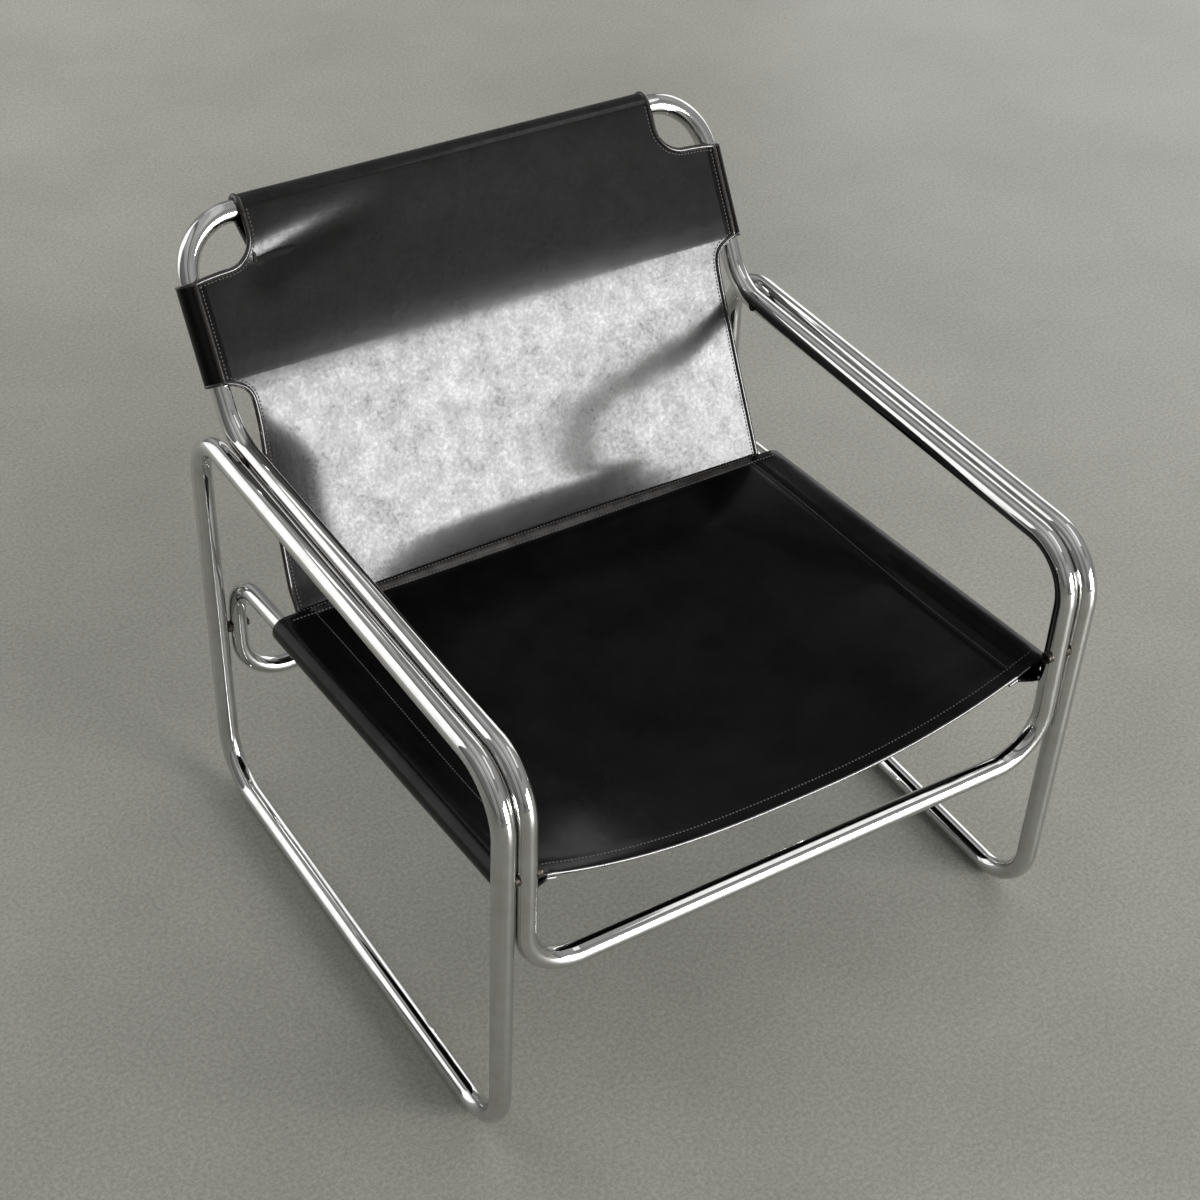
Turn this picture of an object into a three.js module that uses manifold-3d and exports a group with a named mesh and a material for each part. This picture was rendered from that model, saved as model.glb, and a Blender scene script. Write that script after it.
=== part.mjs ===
// Lounge chair of bent steel tube with a leather back and a leather seat.
// Two closed side loops carry the arms, legs and floor runners. An inner frame
// holds the back sling, and a lower frame with two rails holds the seat sling.
// Millimetres, +Z up, the front of the chair towards -Y, the width along X.
// Depths run backwards from the front foot, heights run up from the floor.

import * as THREE from 'three';
import { mergeVertices } from 'three/addons/utils/BufferGeometryUtils.js';
import Module from 'manifold-3d';

const wasm = await Module();
wasm.setup();

// Tubes
const MAIN_TUBE_DIAMETER = 25;
const MAIN_TUBE_WALL = 2;
const SEAT_TUBE_DIAMETER = 22;
const SEAT_TUBE_WALL = 2;

// Widths between tube centre lines
const SIDE_LOOP_CENTRES = 748;
const TUBE_TO_TUBE_GAP = 2;

// Side loops, given by the corners where their straight runs would meet
const RUNNER_LENGTH = 678;
const FRONT_LEG_RAKE = 14;
const REAR_LEG_RAKE = 23;
const ARM_FRONT_HEIGHT = 539;
const ARM_REAR_HEIGHT = 530.5;
const LOOP_FRONT_BEND = 70;
const LOOP_REAR_BEND = 65;

// Inner frame
const INNER_ARM_FRONT_DEPTH = 19;
const INNER_ARM_BEND = 64;
const FRONT_CROSSBAR_DEPTH = 5.5;
const FRONT_CROSSBAR_HEIGHT = 266;
const FRONT_CROSSBAR_BEND = 65;
const KNEE_DEPTH = 656;
const KNEE_BEND = 68;
const BACK_LENGTH = 241;
const BACK_RAKE_DEGREES = 33;
const BACK_TOP_BEND = 68;

// Seat frame
const SEAT_FRONT_HEIGHT = 376;
const SEAT_REAR_DEPTH = 693;
const SEAT_REAR_HEIGHT = 314;
const SEAT_REAR_BEND = 68;
const REAR_CROSS_RAIL_DEPTH = 682;
const REAR_CROSS_RAIL_HEIGHT = 152;
const REAR_CROSS_RAIL_BEND = 58;

// Joining plugs inside the tubes
const JOINT_PLUG_LENGTH = 60;
const JOINT_HAIRLINE = 0.3;

// Fixings between the outer and the inner tubes
const STUD_DIAMETER = 6;
const SPACER_DIAMETER = 14;
const CAP_DIAMETER = 14;
const CAP_PROJECTION = 4;
const CAP_EDGE_ROUNDING = 1.5;
const CAP_EYE_DIAMETER = 5;
const CAP_END_WALL = 1.5;
const STUD_INSIDE_LOOP = 5;
const FRONT_FIXING_HEIGHT = 410;
const ARM_FIXING_DEPTH = 608;
const REAR_FIXING_HEIGHT = 234;

// Seat sling
const SEAT_LEATHER = 5;
const SEAT_SLEEVE_END_GAP = 5;
const SEAT_SLING_LENGTH = 526.5;
const SEAT_SEAM_INSET = 35;
const SEAT_SAG = 55;
const REAR_HEM_SAG = 1.5;
const SEAT_SAG_POWER = 2.5;
const SEAT_CREST_MARGIN = 6;
const FRONT_HEM_WIDTH = 18;
const REAR_HEM_WIDTH = 13;
const HEM_EXTRA = 3;
const HEM_SLOPE = 3;
const REAR_FLAT_LENGTH = 44;
const SAG_START = 120;

// Back sling, with places along the back measured down from the top tube
const BACK_LEATHER = 4;
const TOP_SLEEVE_LENGTH = 540;
const TOP_SLEEVE_SEAM = 50;
const SIDE_SLEEVE_START = 66;
const SIDE_SLEEVE_LENGTH = 112;
const SIDE_SLEEVE_SEAM = 24;
const TOP_NOTCH_RADIUS = 36;
const LOWER_NOTCH_DROP = 62;
const LOWER_NOTCH_HALF_WIDTH = 316;
const LOWER_END_HALF_WIDTH = 327;
const BACK_HOLLOW = 5;
const UNDER_FLAP_LENGTH = 30;
const UNDER_FLAP_HALF_WIDTH = 298;

// Clearances
const TOUCH_GAP = 0.3;
const BACK_SLEEVE_EASE = 0.4;
const OVERRUN = 2;

// Fineness of the faceted shapes
const TUBE_SIDES = 16;
const BORE_SIDES = 8;
const ROUND_SIDES = 16;
const SMALL_SIDES = 12;
const BEND_STEP_DEGREES = 18;
const SLEEVE_ARC_STEPS = 11;
const NOTCH_ARC_STEPS = 4;
const LEAVING_TURN_SHARE = 1 / 18;
const SHEET_SHARES = [0, 0.17, 0.34, 0.5, 0.65, 0.78, 0.88, 0.94, 1];
const SEAT_LENGTH_SHARES = [0.86, 0.7, 0.54, 0.38, 0.2];
const SLEEVE_RUN_SHARES = [0.25, 0.5, 0.75];
const LOWER_RUN_SHARES = [0.2, 0.45, 0.7, 0.88];
const LOWER_NOTCH_DROP_SHARES = [0.06, 0.2, 0.42, 1];
const LOWER_NOTCH_REACH_SHARES = [0.42, 0.78, 0.96, 1];

// Sizes that follow from the ones above
const MAIN_RADIUS = MAIN_TUBE_DIAMETER / 2;
const SEAT_RADIUS = SEAT_TUBE_DIAMETER / 2;
const LOOP_X = SIDE_LOOP_CENTRES / 2;
const INNER_X = LOOP_X - MAIN_TUBE_DIAMETER - TUBE_TO_TUBE_GAP;
const BACK_RAKE = THREE.MathUtils.degToRad(BACK_RAKE_DEGREES);
const STUD_HOLE_RADIUS = STUD_DIAMETER / 2 + TOUCH_GAP;

const point = (x, y, z) => new THREE.Vector3(x, y, z);
const onLine = (a, b, share) => new THREE.Vector3().lerpVectors(a, b, share);
const atHeight = (a, b, z) => onLine(a, b, (z - a.z) / (b.z - a.z));
const atDepth = (a, b, y) => onLine(a, b, (y - a.y) / (b.y - a.y));
const onSide = (p, side) => point(p.x * side, p.y, p.z);
const cornerRadius = (flat, sides) => flat / Math.cos(Math.PI / sides);

// Corners of the right-hand side loop
const FRONT_FOOT = point(LOOP_X, 0, MAIN_RADIUS);
const REAR_FOOT = point(LOOP_X, RUNNER_LENGTH, MAIN_RADIUS);
const ARM_FRONT = point(LOOP_X, FRONT_LEG_RAKE, ARM_FRONT_HEIGHT);
const ARM_REAR = point(LOOP_X, RUNNER_LENGTH + REAR_LEG_RAKE, ARM_REAR_HEIGHT);

// Corners of the inner frame on the right-hand side
const KNEE = atDepth(ARM_FRONT, ARM_REAR, KNEE_DEPTH).setX(INNER_X);
const INNER_ARM_FRONT = atDepth(ARM_FRONT, ARM_REAR, INNER_ARM_FRONT_DEPTH).setX(INNER_X);
const CROSSBAR_CORNER = point(INNER_X, FRONT_CROSSBAR_DEPTH, FRONT_CROSSBAR_HEIGHT);
const BACK_UP = point(0, Math.sin(BACK_RAKE), Math.cos(BACK_RAKE));
const BACK_FRONT = point(0, -Math.cos(BACK_RAKE), Math.sin(BACK_RAKE));
const BACK_TOP = KNEE.clone().addScaledVector(BACK_UP, BACK_LENGTH);

// Corners of the seat frame on the right-hand side
const RAIL_FRONT = atHeight(INNER_ARM_FRONT, CROSSBAR_CORNER, SEAT_FRONT_HEIGHT);
const RAIL_REAR = point(INNER_X, SEAT_REAR_DEPTH, SEAT_REAR_HEIGHT);
const CROSS_RAIL_CORNER = point(INNER_X, REAR_CROSS_RAIL_DEPTH, REAR_CROSS_RAIL_HEIGHT);
const RAIL_BACK = RAIL_REAR.clone().sub(RAIL_FRONT).normalize();
const RAIL_UP = point(0, -RAIL_BACK.z, RAIL_BACK.y);

// A tube path of straight runs and round bends, kept as stations with directions
class BentPath extends THREE.Curve {
  constructor(stations) {
    super();
    this.stations = stations;
  }

  getPoint(u, target = new THREE.Vector3()) {
    const last = this.stations.length - 1;
    const index = Math.min(Math.floor(u * last), last - 1);
    const ahead = this.stations[index + 1].at;
    return target.lerpVectors(this.stations[index].at, ahead, u * last - index);
  }

  getSpacedPoints() {
    return this.stations.map((station) => station.at.clone());
  }

  getTangentAt(u, target = new THREE.Vector3()) {
    const nearest = Math.round(u * (this.stations.length - 1));
    return target.copy(this.stations[nearest].along);
  }
}

// Stations round one bend, from its start to its end
function bendStations(corner, before, after, radius) {
  const back = before.clone().sub(corner).normalize();
  const ahead = after.clone().sub(corner).normalize();
  const turn = Math.PI - back.angleTo(ahead);
  const axis = back.clone().cross(ahead).normalize();
  const start = corner.clone().addScaledVector(back, radius * Math.tan(turn / 2));
  const inwards = axis.clone().cross(back).normalize();
  const centre = start.clone().addScaledVector(inwards, radius);
  const arm = start.clone().sub(centre);
  const steps = Math.round(THREE.MathUtils.radToDeg(turn) / BEND_STEP_DEGREES);
  const stations = [];
  for (let i = 0; i <= steps; i += 1) {
    const angle = (-turn * i) / steps;
    const at = centre.clone().add(arm.clone().applyAxisAngle(axis, angle));
    stations.push({ at, along: back.clone().negate().applyAxisAngle(axis, angle) });
  }
  return stations;
}

// A path from one end to the other, with a round bend at each corner
function bentPath(start, corners, end) {
  const points = [start, ...corners.map((corner) => corner.at), end];
  const leaving = points[1].clone().sub(start).normalize();
  const arriving = end.clone().sub(points[points.length - 2]).normalize();
  const stations = [{ at: start.clone(), along: leaving }];
  corners.forEach((corner, i) => {
    stations.push(...bendStations(corner.at, points[i], points[i + 2], corner.bend));
  });
  stations.push({ at: end.clone(), along: arriving });
  return new BentPath(stations);
}

// A ring of corners whose flats lie at one distance from the middle
function flatSidedRing(flat, sides) {
  const reach = cornerRadius(flat, sides);
  const ring = [];
  for (let i = 0; i < sides; i += 1) {
    const angle = (2 * Math.PI * (i + 1 / 2)) / sides;
    ring.push(new THREE.Vector2(reach * Math.cos(angle), reach * Math.sin(angle)));
  }
  return ring;
}

// The flat distance at which a polygon has the area of a circle
function equalAreaFlat(radius, sides) {
  return radius * Math.sqrt(Math.PI / (sides * Math.tan(Math.PI / sides)));
}

function tubeGeometry(path, radius, wall) {
  const section = new THREE.Shape(flatSidedRing(radius, TUBE_SIDES));
  const bore = equalAreaFlat(radius - wall, BORE_SIDES);
  section.holes.push(new THREE.Path(flatSidedRing(bore, BORE_SIDES)));
  const steps = path.stations.length - 1;
  return new THREE.ExtrudeGeometry(section, { steps, extrudePath: path });
}

// A closed geometry as a solid that can be joined and cut
function toSolid(geometry) {
  const bare = new THREE.BufferGeometry();
  bare.setAttribute('position', geometry.getAttribute('position').clone());
  if (geometry.index) {
    bare.setIndex(geometry.index.clone());
  }
  const merged = mergeVertices(bare);
  const vertProperties = new Float32Array(merged.getAttribute('position').array);
  const triVerts = new Uint32Array(merged.index.array);
  return new wasm.Manifold(new wasm.Mesh({ numProp: 3, vertProperties, triVerts }));
}

function toGeometry(solid) {
  const mesh = solid.getMesh();
  const geometry = new THREE.BufferGeometry();
  geometry.setAttribute('position', new THREE.BufferAttribute(mesh.vertProperties, 3));
  geometry.setIndex(new THREE.BufferAttribute(mesh.triVerts, 1));
  geometry.computeVertexNormals();
  return geometry;
}

// A round bar between two points
function barGeometry(from, to, radius, sides) {
  const along = to.clone().sub(from);
  const bar = new THREE.CylinderGeometry(radius, radius, along.length(), sides);
  const turn = new THREE.Quaternion();
  turn.setFromUnitVectors(point(0, 1, 0), along.clone().normalize());
  bar.applyQuaternion(turn);
  const middle = onLine(from, to, 1 / 2);
  return bar.translate(middle.x, middle.y, middle.z);
}

// The room that a tube needs, with the touching gap round it
function tubeRoom(from, to, radius) {
  const reach = cornerRadius(cornerRadius(radius, TUBE_SIDES) + TOUCH_GAP, ROUND_SIDES);
  return toSolid(barGeometry(from, to, reach, ROUND_SIDES));
}

const chair = new THREE.Group();

const chrome = { color: 0xd4d6d6, roughness: 0.08, metalness: 1 };
const nickel = { color: 0xa39a88, roughness: 0.35, metalness: 1 };
const steel = { color: 0x77777a, roughness: 0.45, metalness: 1 };
const leather = { color: 0x161617, roughness: 0.42, metalness: 0 };

function addNode(name, geometry, look) {
  const mesh = new THREE.Mesh(geometry, new THREE.MeshStandardMaterial(look));
  mesh.name = name;
  chair.add(mesh);
  return mesh;
}

// The fixings tie the outer tubes to the inner ones beside them
const FIXINGS = [
  {
    name: 'front_leg',
    at: atHeight(ARM_FRONT, FRONT_FOOT, FRONT_FIXING_HEIGHT),
    outerRun: [ARM_FRONT, FRONT_FOOT],
    innerRun: [INNER_ARM_FRONT, CROSSBAR_CORNER],
    innerRadius: MAIN_RADIUS,
  },
  {
    name: 'arm',
    at: atDepth(ARM_FRONT, ARM_REAR, ARM_FIXING_DEPTH),
    outerRun: [ARM_FRONT, ARM_REAR],
    innerRun: [INNER_ARM_FRONT, KNEE],
    innerRadius: MAIN_RADIUS,
  },
  {
    name: 'rear_leg',
    at: atHeight(ARM_REAR, REAR_FOOT, REAR_FIXING_HEIGHT),
    outerRun: [ARM_REAR, REAR_FOOT],
    innerRun: [RAIL_REAR, CROSS_RAIL_CORNER],
    innerRadius: SEAT_RADIUS,
  },
];
const [FRONT_FIXING, ARM_FIXING, REAR_FIXING] = FIXINGS;
const SIDES = [
  { name: 'left', sign: -1 },
  { name: 'right', sign: 1 },
];

// A bar across the chair at a fixing, between two distances from the middle
function acrossBar(fixing, side, from, to, radius, sides) {
  const start = onSide(fixing.at.clone().setX(from), side.sign);
  const end = onSide(fixing.at.clone().setX(to), side.sign);
  return toSolid(barGeometry(start, end, radius, sides));
}

function drilled(solid, fixing, side, from, to) {
  return solid.subtract(acrossBar(fixing, side, from, to, STUD_HOLE_RADIUS, SMALL_SIDES));
}

// A side loop, closed by a hairline joint in the middle of its floor runner
function sideLoop(side) {
  const middle = RUNNER_LENGTH / 2;
  const corners = [
    { at: FRONT_FOOT, bend: LOOP_FRONT_BEND },
    { at: ARM_FRONT, bend: LOOP_FRONT_BEND },
    { at: ARM_REAR, bend: LOOP_REAR_BEND },
    { at: REAR_FOOT, bend: LOOP_REAR_BEND },
  ].map((corner) => ({ at: onSide(corner.at, side.sign), bend: corner.bend }));
  const start = point(corners[0].at.x, middle - JOINT_HAIRLINE / 2, MAIN_RADIUS);
  const end = point(corners[0].at.x, middle + JOINT_HAIRLINE / 2, MAIN_RADIUS);
  const path = bentPath(start, corners, end);
  let solid = toSolid(tubeGeometry(path, MAIN_RADIUS, MAIN_TUBE_WALL));
  for (const fixing of FIXINGS) {
    solid = drilled(solid, fixing, side, LOOP_X - MAIN_RADIUS - OVERRUN, LOOP_X);
  }
  return toGeometry(solid);
}

// The plug that joins the two ends of a tube from inside
function jointPlug(middle, along) {
  const flat = equalAreaFlat(MAIN_RADIUS - MAIN_TUBE_WALL, BORE_SIDES) - TOUCH_GAP;
  const half = along.clone().multiplyScalar(JOINT_PLUG_LENGTH / 2);
  return barGeometry(middle.clone().sub(half), middle.clone().add(half), flat, SMALL_SIDES);
}

// The corners of a frame that runs from the right-hand side over to the left
function bothSides(corners) {
  const left = corners.map((corner) => ({ at: onSide(corner.at, -1), bend: corner.bend }));
  return [...corners, ...left.reverse()];
}

// The inner frame: back, knees, arms, front legs and front crossbar in one tube
function innerFrame() {
  const corners = bothSides([
    { at: BACK_TOP, bend: BACK_TOP_BEND },
    { at: KNEE, bend: KNEE_BEND },
    { at: INNER_ARM_FRONT, bend: INNER_ARM_BEND },
    { at: CROSSBAR_CORNER, bend: FRONT_CROSSBAR_BEND },
  ]);
  const start = BACK_TOP.clone().setX(JOINT_HAIRLINE / 2);
  const path = bentPath(start, corners, onSide(start, -1));
  let solid = toSolid(tubeGeometry(path, MAIN_RADIUS, MAIN_TUBE_WALL));
  const from = INNER_X - MAIN_RADIUS - OVERRUN;
  const to = INNER_X + MAIN_RADIUS + OVERRUN;
  for (const side of SIDES) {
    solid = drilled(solid, FRONT_FIXING, side, from, to);
    solid = drilled(solid, ARM_FIXING, side, from, to);
  }
  return toGeometry(solid);
}

// The seat frame: two rails, their drops and the low cross rail behind the seat
function seatFrame() {
  const corners = bothSides([
    { at: RAIL_REAR, bend: SEAT_REAR_BEND },
    { at: CROSS_RAIL_CORNER, bend: REAR_CROSS_RAIL_BEND },
  ]);
  const path = bentPath(RAIL_FRONT, corners, onSide(RAIL_FRONT, -1));
  let solid = toSolid(tubeGeometry(path, SEAT_RADIUS, SEAT_TUBE_WALL));
  const from = INNER_X - SEAT_RADIUS - OVERRUN;
  const to = INNER_X + SEAT_RADIUS + OVERRUN;
  for (const side of SIDES) {
    const [top, bottom] = [INNER_ARM_FRONT, CROSSBAR_CORNER].map((p) => onSide(p, side.sign));
    solid = solid.subtract(tubeRoom(top, bottom, MAIN_RADIUS));
    solid = drilled(solid, REAR_FIXING, side, from, to);
  }
  return toGeometry(solid);
}

// The rooms of the two tubes at a fixing
function fixingRooms(fixing, side) {
  const [outerTop, outerEnd] = fixing.outerRun.map((p) => onSide(p, side.sign));
  const [innerTop, innerEnd] = fixing.innerRun.map((p) => onSide(p, side.sign));
  const outer = tubeRoom(outerTop, outerEnd, MAIN_RADIUS);
  const inner = tubeRoom(innerTop, innerEnd, fixing.innerRadius);
  return { outer, inner };
}

// The saddle-ended spacer between the two tubes
function spacer(fixing, side) {
  const rooms = fixingRooms(fixing, side);
  const bar = acrossBar(fixing, side, INNER_X, LOOP_X, SPACER_DIAMETER / 2, ROUND_SIDES);
  const saddle = bar.subtract(rooms.outer).subtract(rooms.inner);
  return toGeometry(drilled(saddle, fixing, side, INNER_X, LOOP_X));
}

// The round cap on the inner tube, bored for the stud, with an eye in its face
function cap(fixing, side) {
  const radius = CAP_DIAMETER / 2;
  const height = fixing.innerRadius + CAP_PROJECTION;
  const shoulder = height - CAP_END_WALL;
  const eye = CAP_EYE_DIAMETER / 2;
  const profile = [
    [STUD_HOLE_RADIUS, 0],
    [radius, 0],
    [radius, height - CAP_EDGE_ROUNDING],
    [radius - CAP_EDGE_ROUNDING, height],
    [eye, height],
    [eye, shoulder],
    [STUD_HOLE_RADIUS, shoulder],
    [STUD_HOLE_RADIUS, 0],
  ].map(([across, along]) => new THREE.Vector2(across, along));
  const turned = new THREE.LatheGeometry(profile, ROUND_SIDES);
  turned.rotateZ((side.sign * Math.PI) / 2);
  turned.translate(side.sign * INNER_X, fixing.at.y, fixing.at.z);
  return toGeometry(toSolid(turned).subtract(fixingRooms(fixing, side).inner));
}

// The stud from inside the cap, through both tube walls, into the outer tube
function stud(fixing, side) {
  const capFace = INNER_X - fixing.innerRadius - CAP_PROJECTION;
  const start = onSide(fixing.at.clone().setX(capFace + CAP_END_WALL + TOUCH_GAP), side.sign);
  const tip = LOOP_X - MAIN_RADIUS + MAIN_TUBE_WALL + STUD_INSIDE_LOOP;
  const end = onSide(fixing.at.clone().setX(tip), side.sign);
  return barGeometry(start, end, STUD_DIAMETER / 2, SMALL_SIDES);
}

// The outline and hole of a sleeve round a tube at the origin. Its crest is up,
// and its seam meets the underside of the sheet towards the negative side
function sleeveSection(inner, wall, seamInset) {
  const outer = inner + wall;
  const seam = new THREE.Vector2(-seamInset, inner);
  const tangent = seam.angle() + Math.acos(outer / seam.length()) - 2 * Math.PI;
  const step = (Math.PI / 2 - tangent) / SLEEVE_ARC_STEPS;
  const outline = [];
  const hole = [];
  for (let i = 0; i <= SLEEVE_ARC_STEPS; i += 1) {
    const angle = Math.PI / 2 - step * i;
    outline.push(new THREE.Vector2(outer * Math.cos(angle), outer * Math.sin(angle)));
  }
  const reach = inner / Math.cos(step / 2);
  const leaving = Math.PI * (1 / 2 + LEAVING_TURN_SHARE);
  hole.push(new THREE.Vector2(reach * Math.cos(leaving), reach * Math.sin(leaving)));
  for (let i = 1; i <= SLEEVE_ARC_STEPS; i += 1) {
    const angle = Math.PI / 2 - step * i + step / 2;
    hole.push(new THREE.Vector2(reach * Math.cos(angle), reach * Math.sin(angle)));
  }
  const apex = (inner - inner * Math.sin(tangent)) / Math.cos(tangent);
  hole.push(new THREE.Vector2(apex, inner));
  return { outline, seam, hole, outer };
}

// A section from an outline that runs clockwise
function sectionShape(outline, holes) {
  const shape = new THREE.Shape([...outline].reverse());
  shape.holes.push(...holes.map((hole) => new THREE.Path(hole)));
  return shape;
}

const sleeveInner = (radius, ease) => cornerRadius(radius, TUBE_SIDES) + TOUCH_GAP + ease;
const mirroredAcross = (points) => points.map((p) => new THREE.Vector2(-p.x, p.y)).reverse();
const bothWays = (shares) => [...shares.slice(1).map((share) => -share).reverse(), ...shares];

// Seat sling, in a frame whose Y runs back along the rails and Z stands off them
const SEAT_SLEEVE_INNER = sleeveInner(SEAT_RADIUS, 0);
const SEAT_CREST = SEAT_SLEEVE_INNER + SEAT_LEATHER;
const SEAT_SEAM_X = INNER_X - SEAT_SEAM_INSET;
const SEAT_SLING_START = MAIN_RADIUS + SEAT_SLEEVE_END_GAP;
const SEAT_SLING_END = SEAT_SLING_START + SEAT_SLING_LENGTH;
const REAR_HEM_UNDERSIDE = SEAT_SLEEVE_INNER - HEM_EXTRA - REAR_HEM_SAG;

// How deep the seat hangs at a distance from the middle, as a share of its sag
function seatHollow(x) {
  const width = INNER_X - SEAT_CREST_MARGIN;
  return 1 - Math.min(Math.abs(x) / width, 1) ** SEAT_SAG_POWER;
}

// The section at the front of the seat, where it hangs deepest
function seatSection() {
  const sleeve = sleeveSection(SEAT_SLEEVE_INNER, SEAT_LEATHER, SEAT_SEAM_INSET);
  const hung = (x, z) => new THREE.Vector2(x, z - SEAT_SAG * seatHollow(x));
  const moved = (points) => points.map((p) => hung(p.x + INNER_X, p.y));
  const columns = bothWays(SHEET_SHARES);
  const right = moved(sleeve.outline);
  const top = columns.slice(1, -1).map((share) => hung(share * INNER_X, sleeve.outer));
  const under = columns.map((share) => hung(-share * SEAT_SEAM_X, SEAT_SLEEVE_INNER));
  const hole = moved(sleeve.hole);
  const outline = [...mirroredAcross(right), ...top, ...right, ...under];
  return sectionShape(outline, [hole, mirroredAcross(hole)]);
}

// How far the seat rises from its front section, towards the flat rear hem
function seatRise(x, along) {
  const level = THREE.MathUtils.smoothstep(along, SAG_START, SEAT_SLING_LENGTH - REAR_FLAT_LENGTH);
  return (SEAT_SAG - REAR_HEM_SAG) * level * seatHollow(x);
}

function seatSling() {
  const flat = SEAT_SLING_LENGTH - REAR_FLAT_LENGTH;
  const stations = [
    SEAT_SLING_LENGTH,
    SEAT_SLING_LENGTH - REAR_HEM_WIDTH,
    SEAT_SLING_LENGTH - REAR_HEM_WIDTH - HEM_SLOPE,
    ...SEAT_LENGTH_SHARES.map((share) => share * flat),
    FRONT_HEM_WIDTH + HEM_SLOPE,
    FRONT_HEM_WIDTH,
    0,
  ];
  const steps = stations.length - 1;
  const geometry = new THREE.ExtrudeGeometry(seatSection(), { steps, depth: 1, bevelEnabled: false });
  const place = geometry.getAttribute('position');
  const middle = SEAT_SLEEVE_INNER + SEAT_LEATHER / 2;
  for (let i = 0; i < place.count; i += 1) {
    const along = stations[Math.round(place.getZ(i) * steps)];
    const x = place.getX(i);
    const level = place.getY(i) + SEAT_SAG * seatHollow(x);
    const isUnder = level < middle && Math.abs(x) < SEAT_SEAM_X;
    const isHem = along <= FRONT_HEM_WIDTH || along >= SEAT_SLING_LENGTH - REAR_HEM_WIDTH;
    const extra = isUnder && isHem ? HEM_EXTRA : 0;
    place.setXYZ(i, x, along, place.getY(i) + seatRise(x, along) - extra);
  }
  return toGeometry(toSolid(geometry));
}

// Back sling, in world places
const BACK_SLEEVE_INNER = sleeveInner(MAIN_RADIUS, BACK_SLEEVE_EASE);
const SLEEVE_END = SIDE_SLEEVE_START + SIDE_SLEEVE_LENGTH;
const TOP_MIDDLE = BACK_TOP.clone().setX(0);
const RAIL_MIDDLE = RAIL_FRONT.clone().setX(0);

function backPlace(x, down, front) {
  const place = TOP_MIDDLE.clone().addScaledVector(BACK_UP, -down);
  return place.addScaledVector(BACK_FRONT, front).setX(x);
}

function seatPlace(x, along, up) {
  const place = RAIL_MIDDLE.clone().addScaledVector(RAIL_BACK, along);
  return place.addScaledVector(RAIL_UP, up).setX(x);
}

// A sleeve as a straight prism, with the two axes of its section
function sleevePrism(seamInset, origin, acrossAxis, frontAxis, alongAxis, length) {
  const sleeve = sleeveSection(BACK_SLEEVE_INNER, BACK_LEATHER, seamInset);
  const edge = new THREE.Vector2(-seamInset, sleeve.outer);
  const section = sectionShape([...sleeve.outline, sleeve.seam, edge], [sleeve.hole]);
  const prism = new THREE.ExtrudeGeometry(section, { depth: length, bevelEnabled: false });
  const basis = new THREE.Matrix4().makeBasis(acrossAxis, frontAxis, alongAxis);
  return toSolid(prism.applyMatrix4(basis.setPosition(origin)));
}

// Half widths of the back sheet down to the end of the notch below the sleeves
function backEdge() {
  const halfTop = TOP_SLEEVE_LENGTH / 2;
  const notchEnd = SIDE_SLEEVE_START - BACK_LEATHER;
  const edge = [{ down: 0, half: halfTop }];
  for (let i = 0; i <= NOTCH_ARC_STEPS; i += 1) {
    const angle = (Math.PI * i) / (2 * NOTCH_ARC_STEPS);
    const down = notchEnd - TOP_NOTCH_RADIUS * (1 - Math.sin(angle));
    edge.push({ down, half: halfTop + TOP_NOTCH_RADIUS * (1 - Math.cos(angle)) });
  }
  edge.push({ down: SIDE_SLEEVE_START, half: INNER_X });
  for (const share of SLEEVE_RUN_SHARES) {
    edge.push({ down: SIDE_SLEEVE_START + share * SIDE_SLEEVE_LENGTH, half: INNER_X });
  }
  edge.push({ down: SLEEVE_END, half: INNER_X });
  return edge;
}

// The middle line of the back sheet, from the top tube down and under the seat
function backStations() {
  const middle = BACK_SLEEVE_INNER + BACK_LEATHER / 2;
  const upper = backEdge().map(({ down, half }) => ({ at: backPlace(0, down, middle), half, down }));
  const wrap = BACK_LEATHER / 2 + 2 * TOUCH_GAP;
  const hem = seatPlace(0, SEAT_SLING_END + wrap, SEAT_CREST);
  const bend = backPlace(0, SLEEVE_END, middle);
  const run = bend.distanceTo(hem);
  const reach = INNER_X - LOWER_NOTCH_HALF_WIDTH;
  const notch = LOWER_NOTCH_DROP_SHARES.map((share, i) => ({
    at: onLine(bend, hem, (share * LOWER_NOTCH_DROP) / run),
    half: INNER_X - reach * LOWER_NOTCH_REACH_SHARES[i],
    down: SLEEVE_END + share * LOWER_NOTCH_DROP,
  }));
  const lower = LOWER_RUN_SHARES.map((share) => {
    const distance = THREE.MathUtils.lerp(LOWER_NOTCH_DROP, run, share);
    const half = THREE.MathUtils.lerp(LOWER_NOTCH_HALF_WIDTH, LOWER_END_HALF_WIDTH, share);
    return { at: onLine(bend, hem, distance / run), half, down: SLEEVE_END + distance };
  });
  const end = { at: hem, half: LOWER_END_HALF_WIDTH, down: SLEEVE_END + run };
  const corner = [0, 1 / 4, 1 / 2].map((turns) => ({
    at: seatPlace(
      0,
      SEAT_SLING_END + wrap * Math.cos(Math.PI * turns),
      REAR_HEM_UNDERSIDE - wrap * Math.sin(Math.PI * turns),
    ),
    half: turns > 0 ? UNDER_FLAP_HALF_WIDTH : LOWER_NOTCH_HALF_WIDTH,
    down: end.down,
  }));
  const flap = {
    at: seatPlace(0, SEAT_SLING_END - UNDER_FLAP_LENGTH, REAR_HEM_UNDERSIDE - wrap),
    half: UNDER_FLAP_HALF_WIDTH,
    down: end.down,
  };
  return { stations: [...upper, ...notch, ...lower, end, ...corner, flap], hangEnd: end.down };
}

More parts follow.
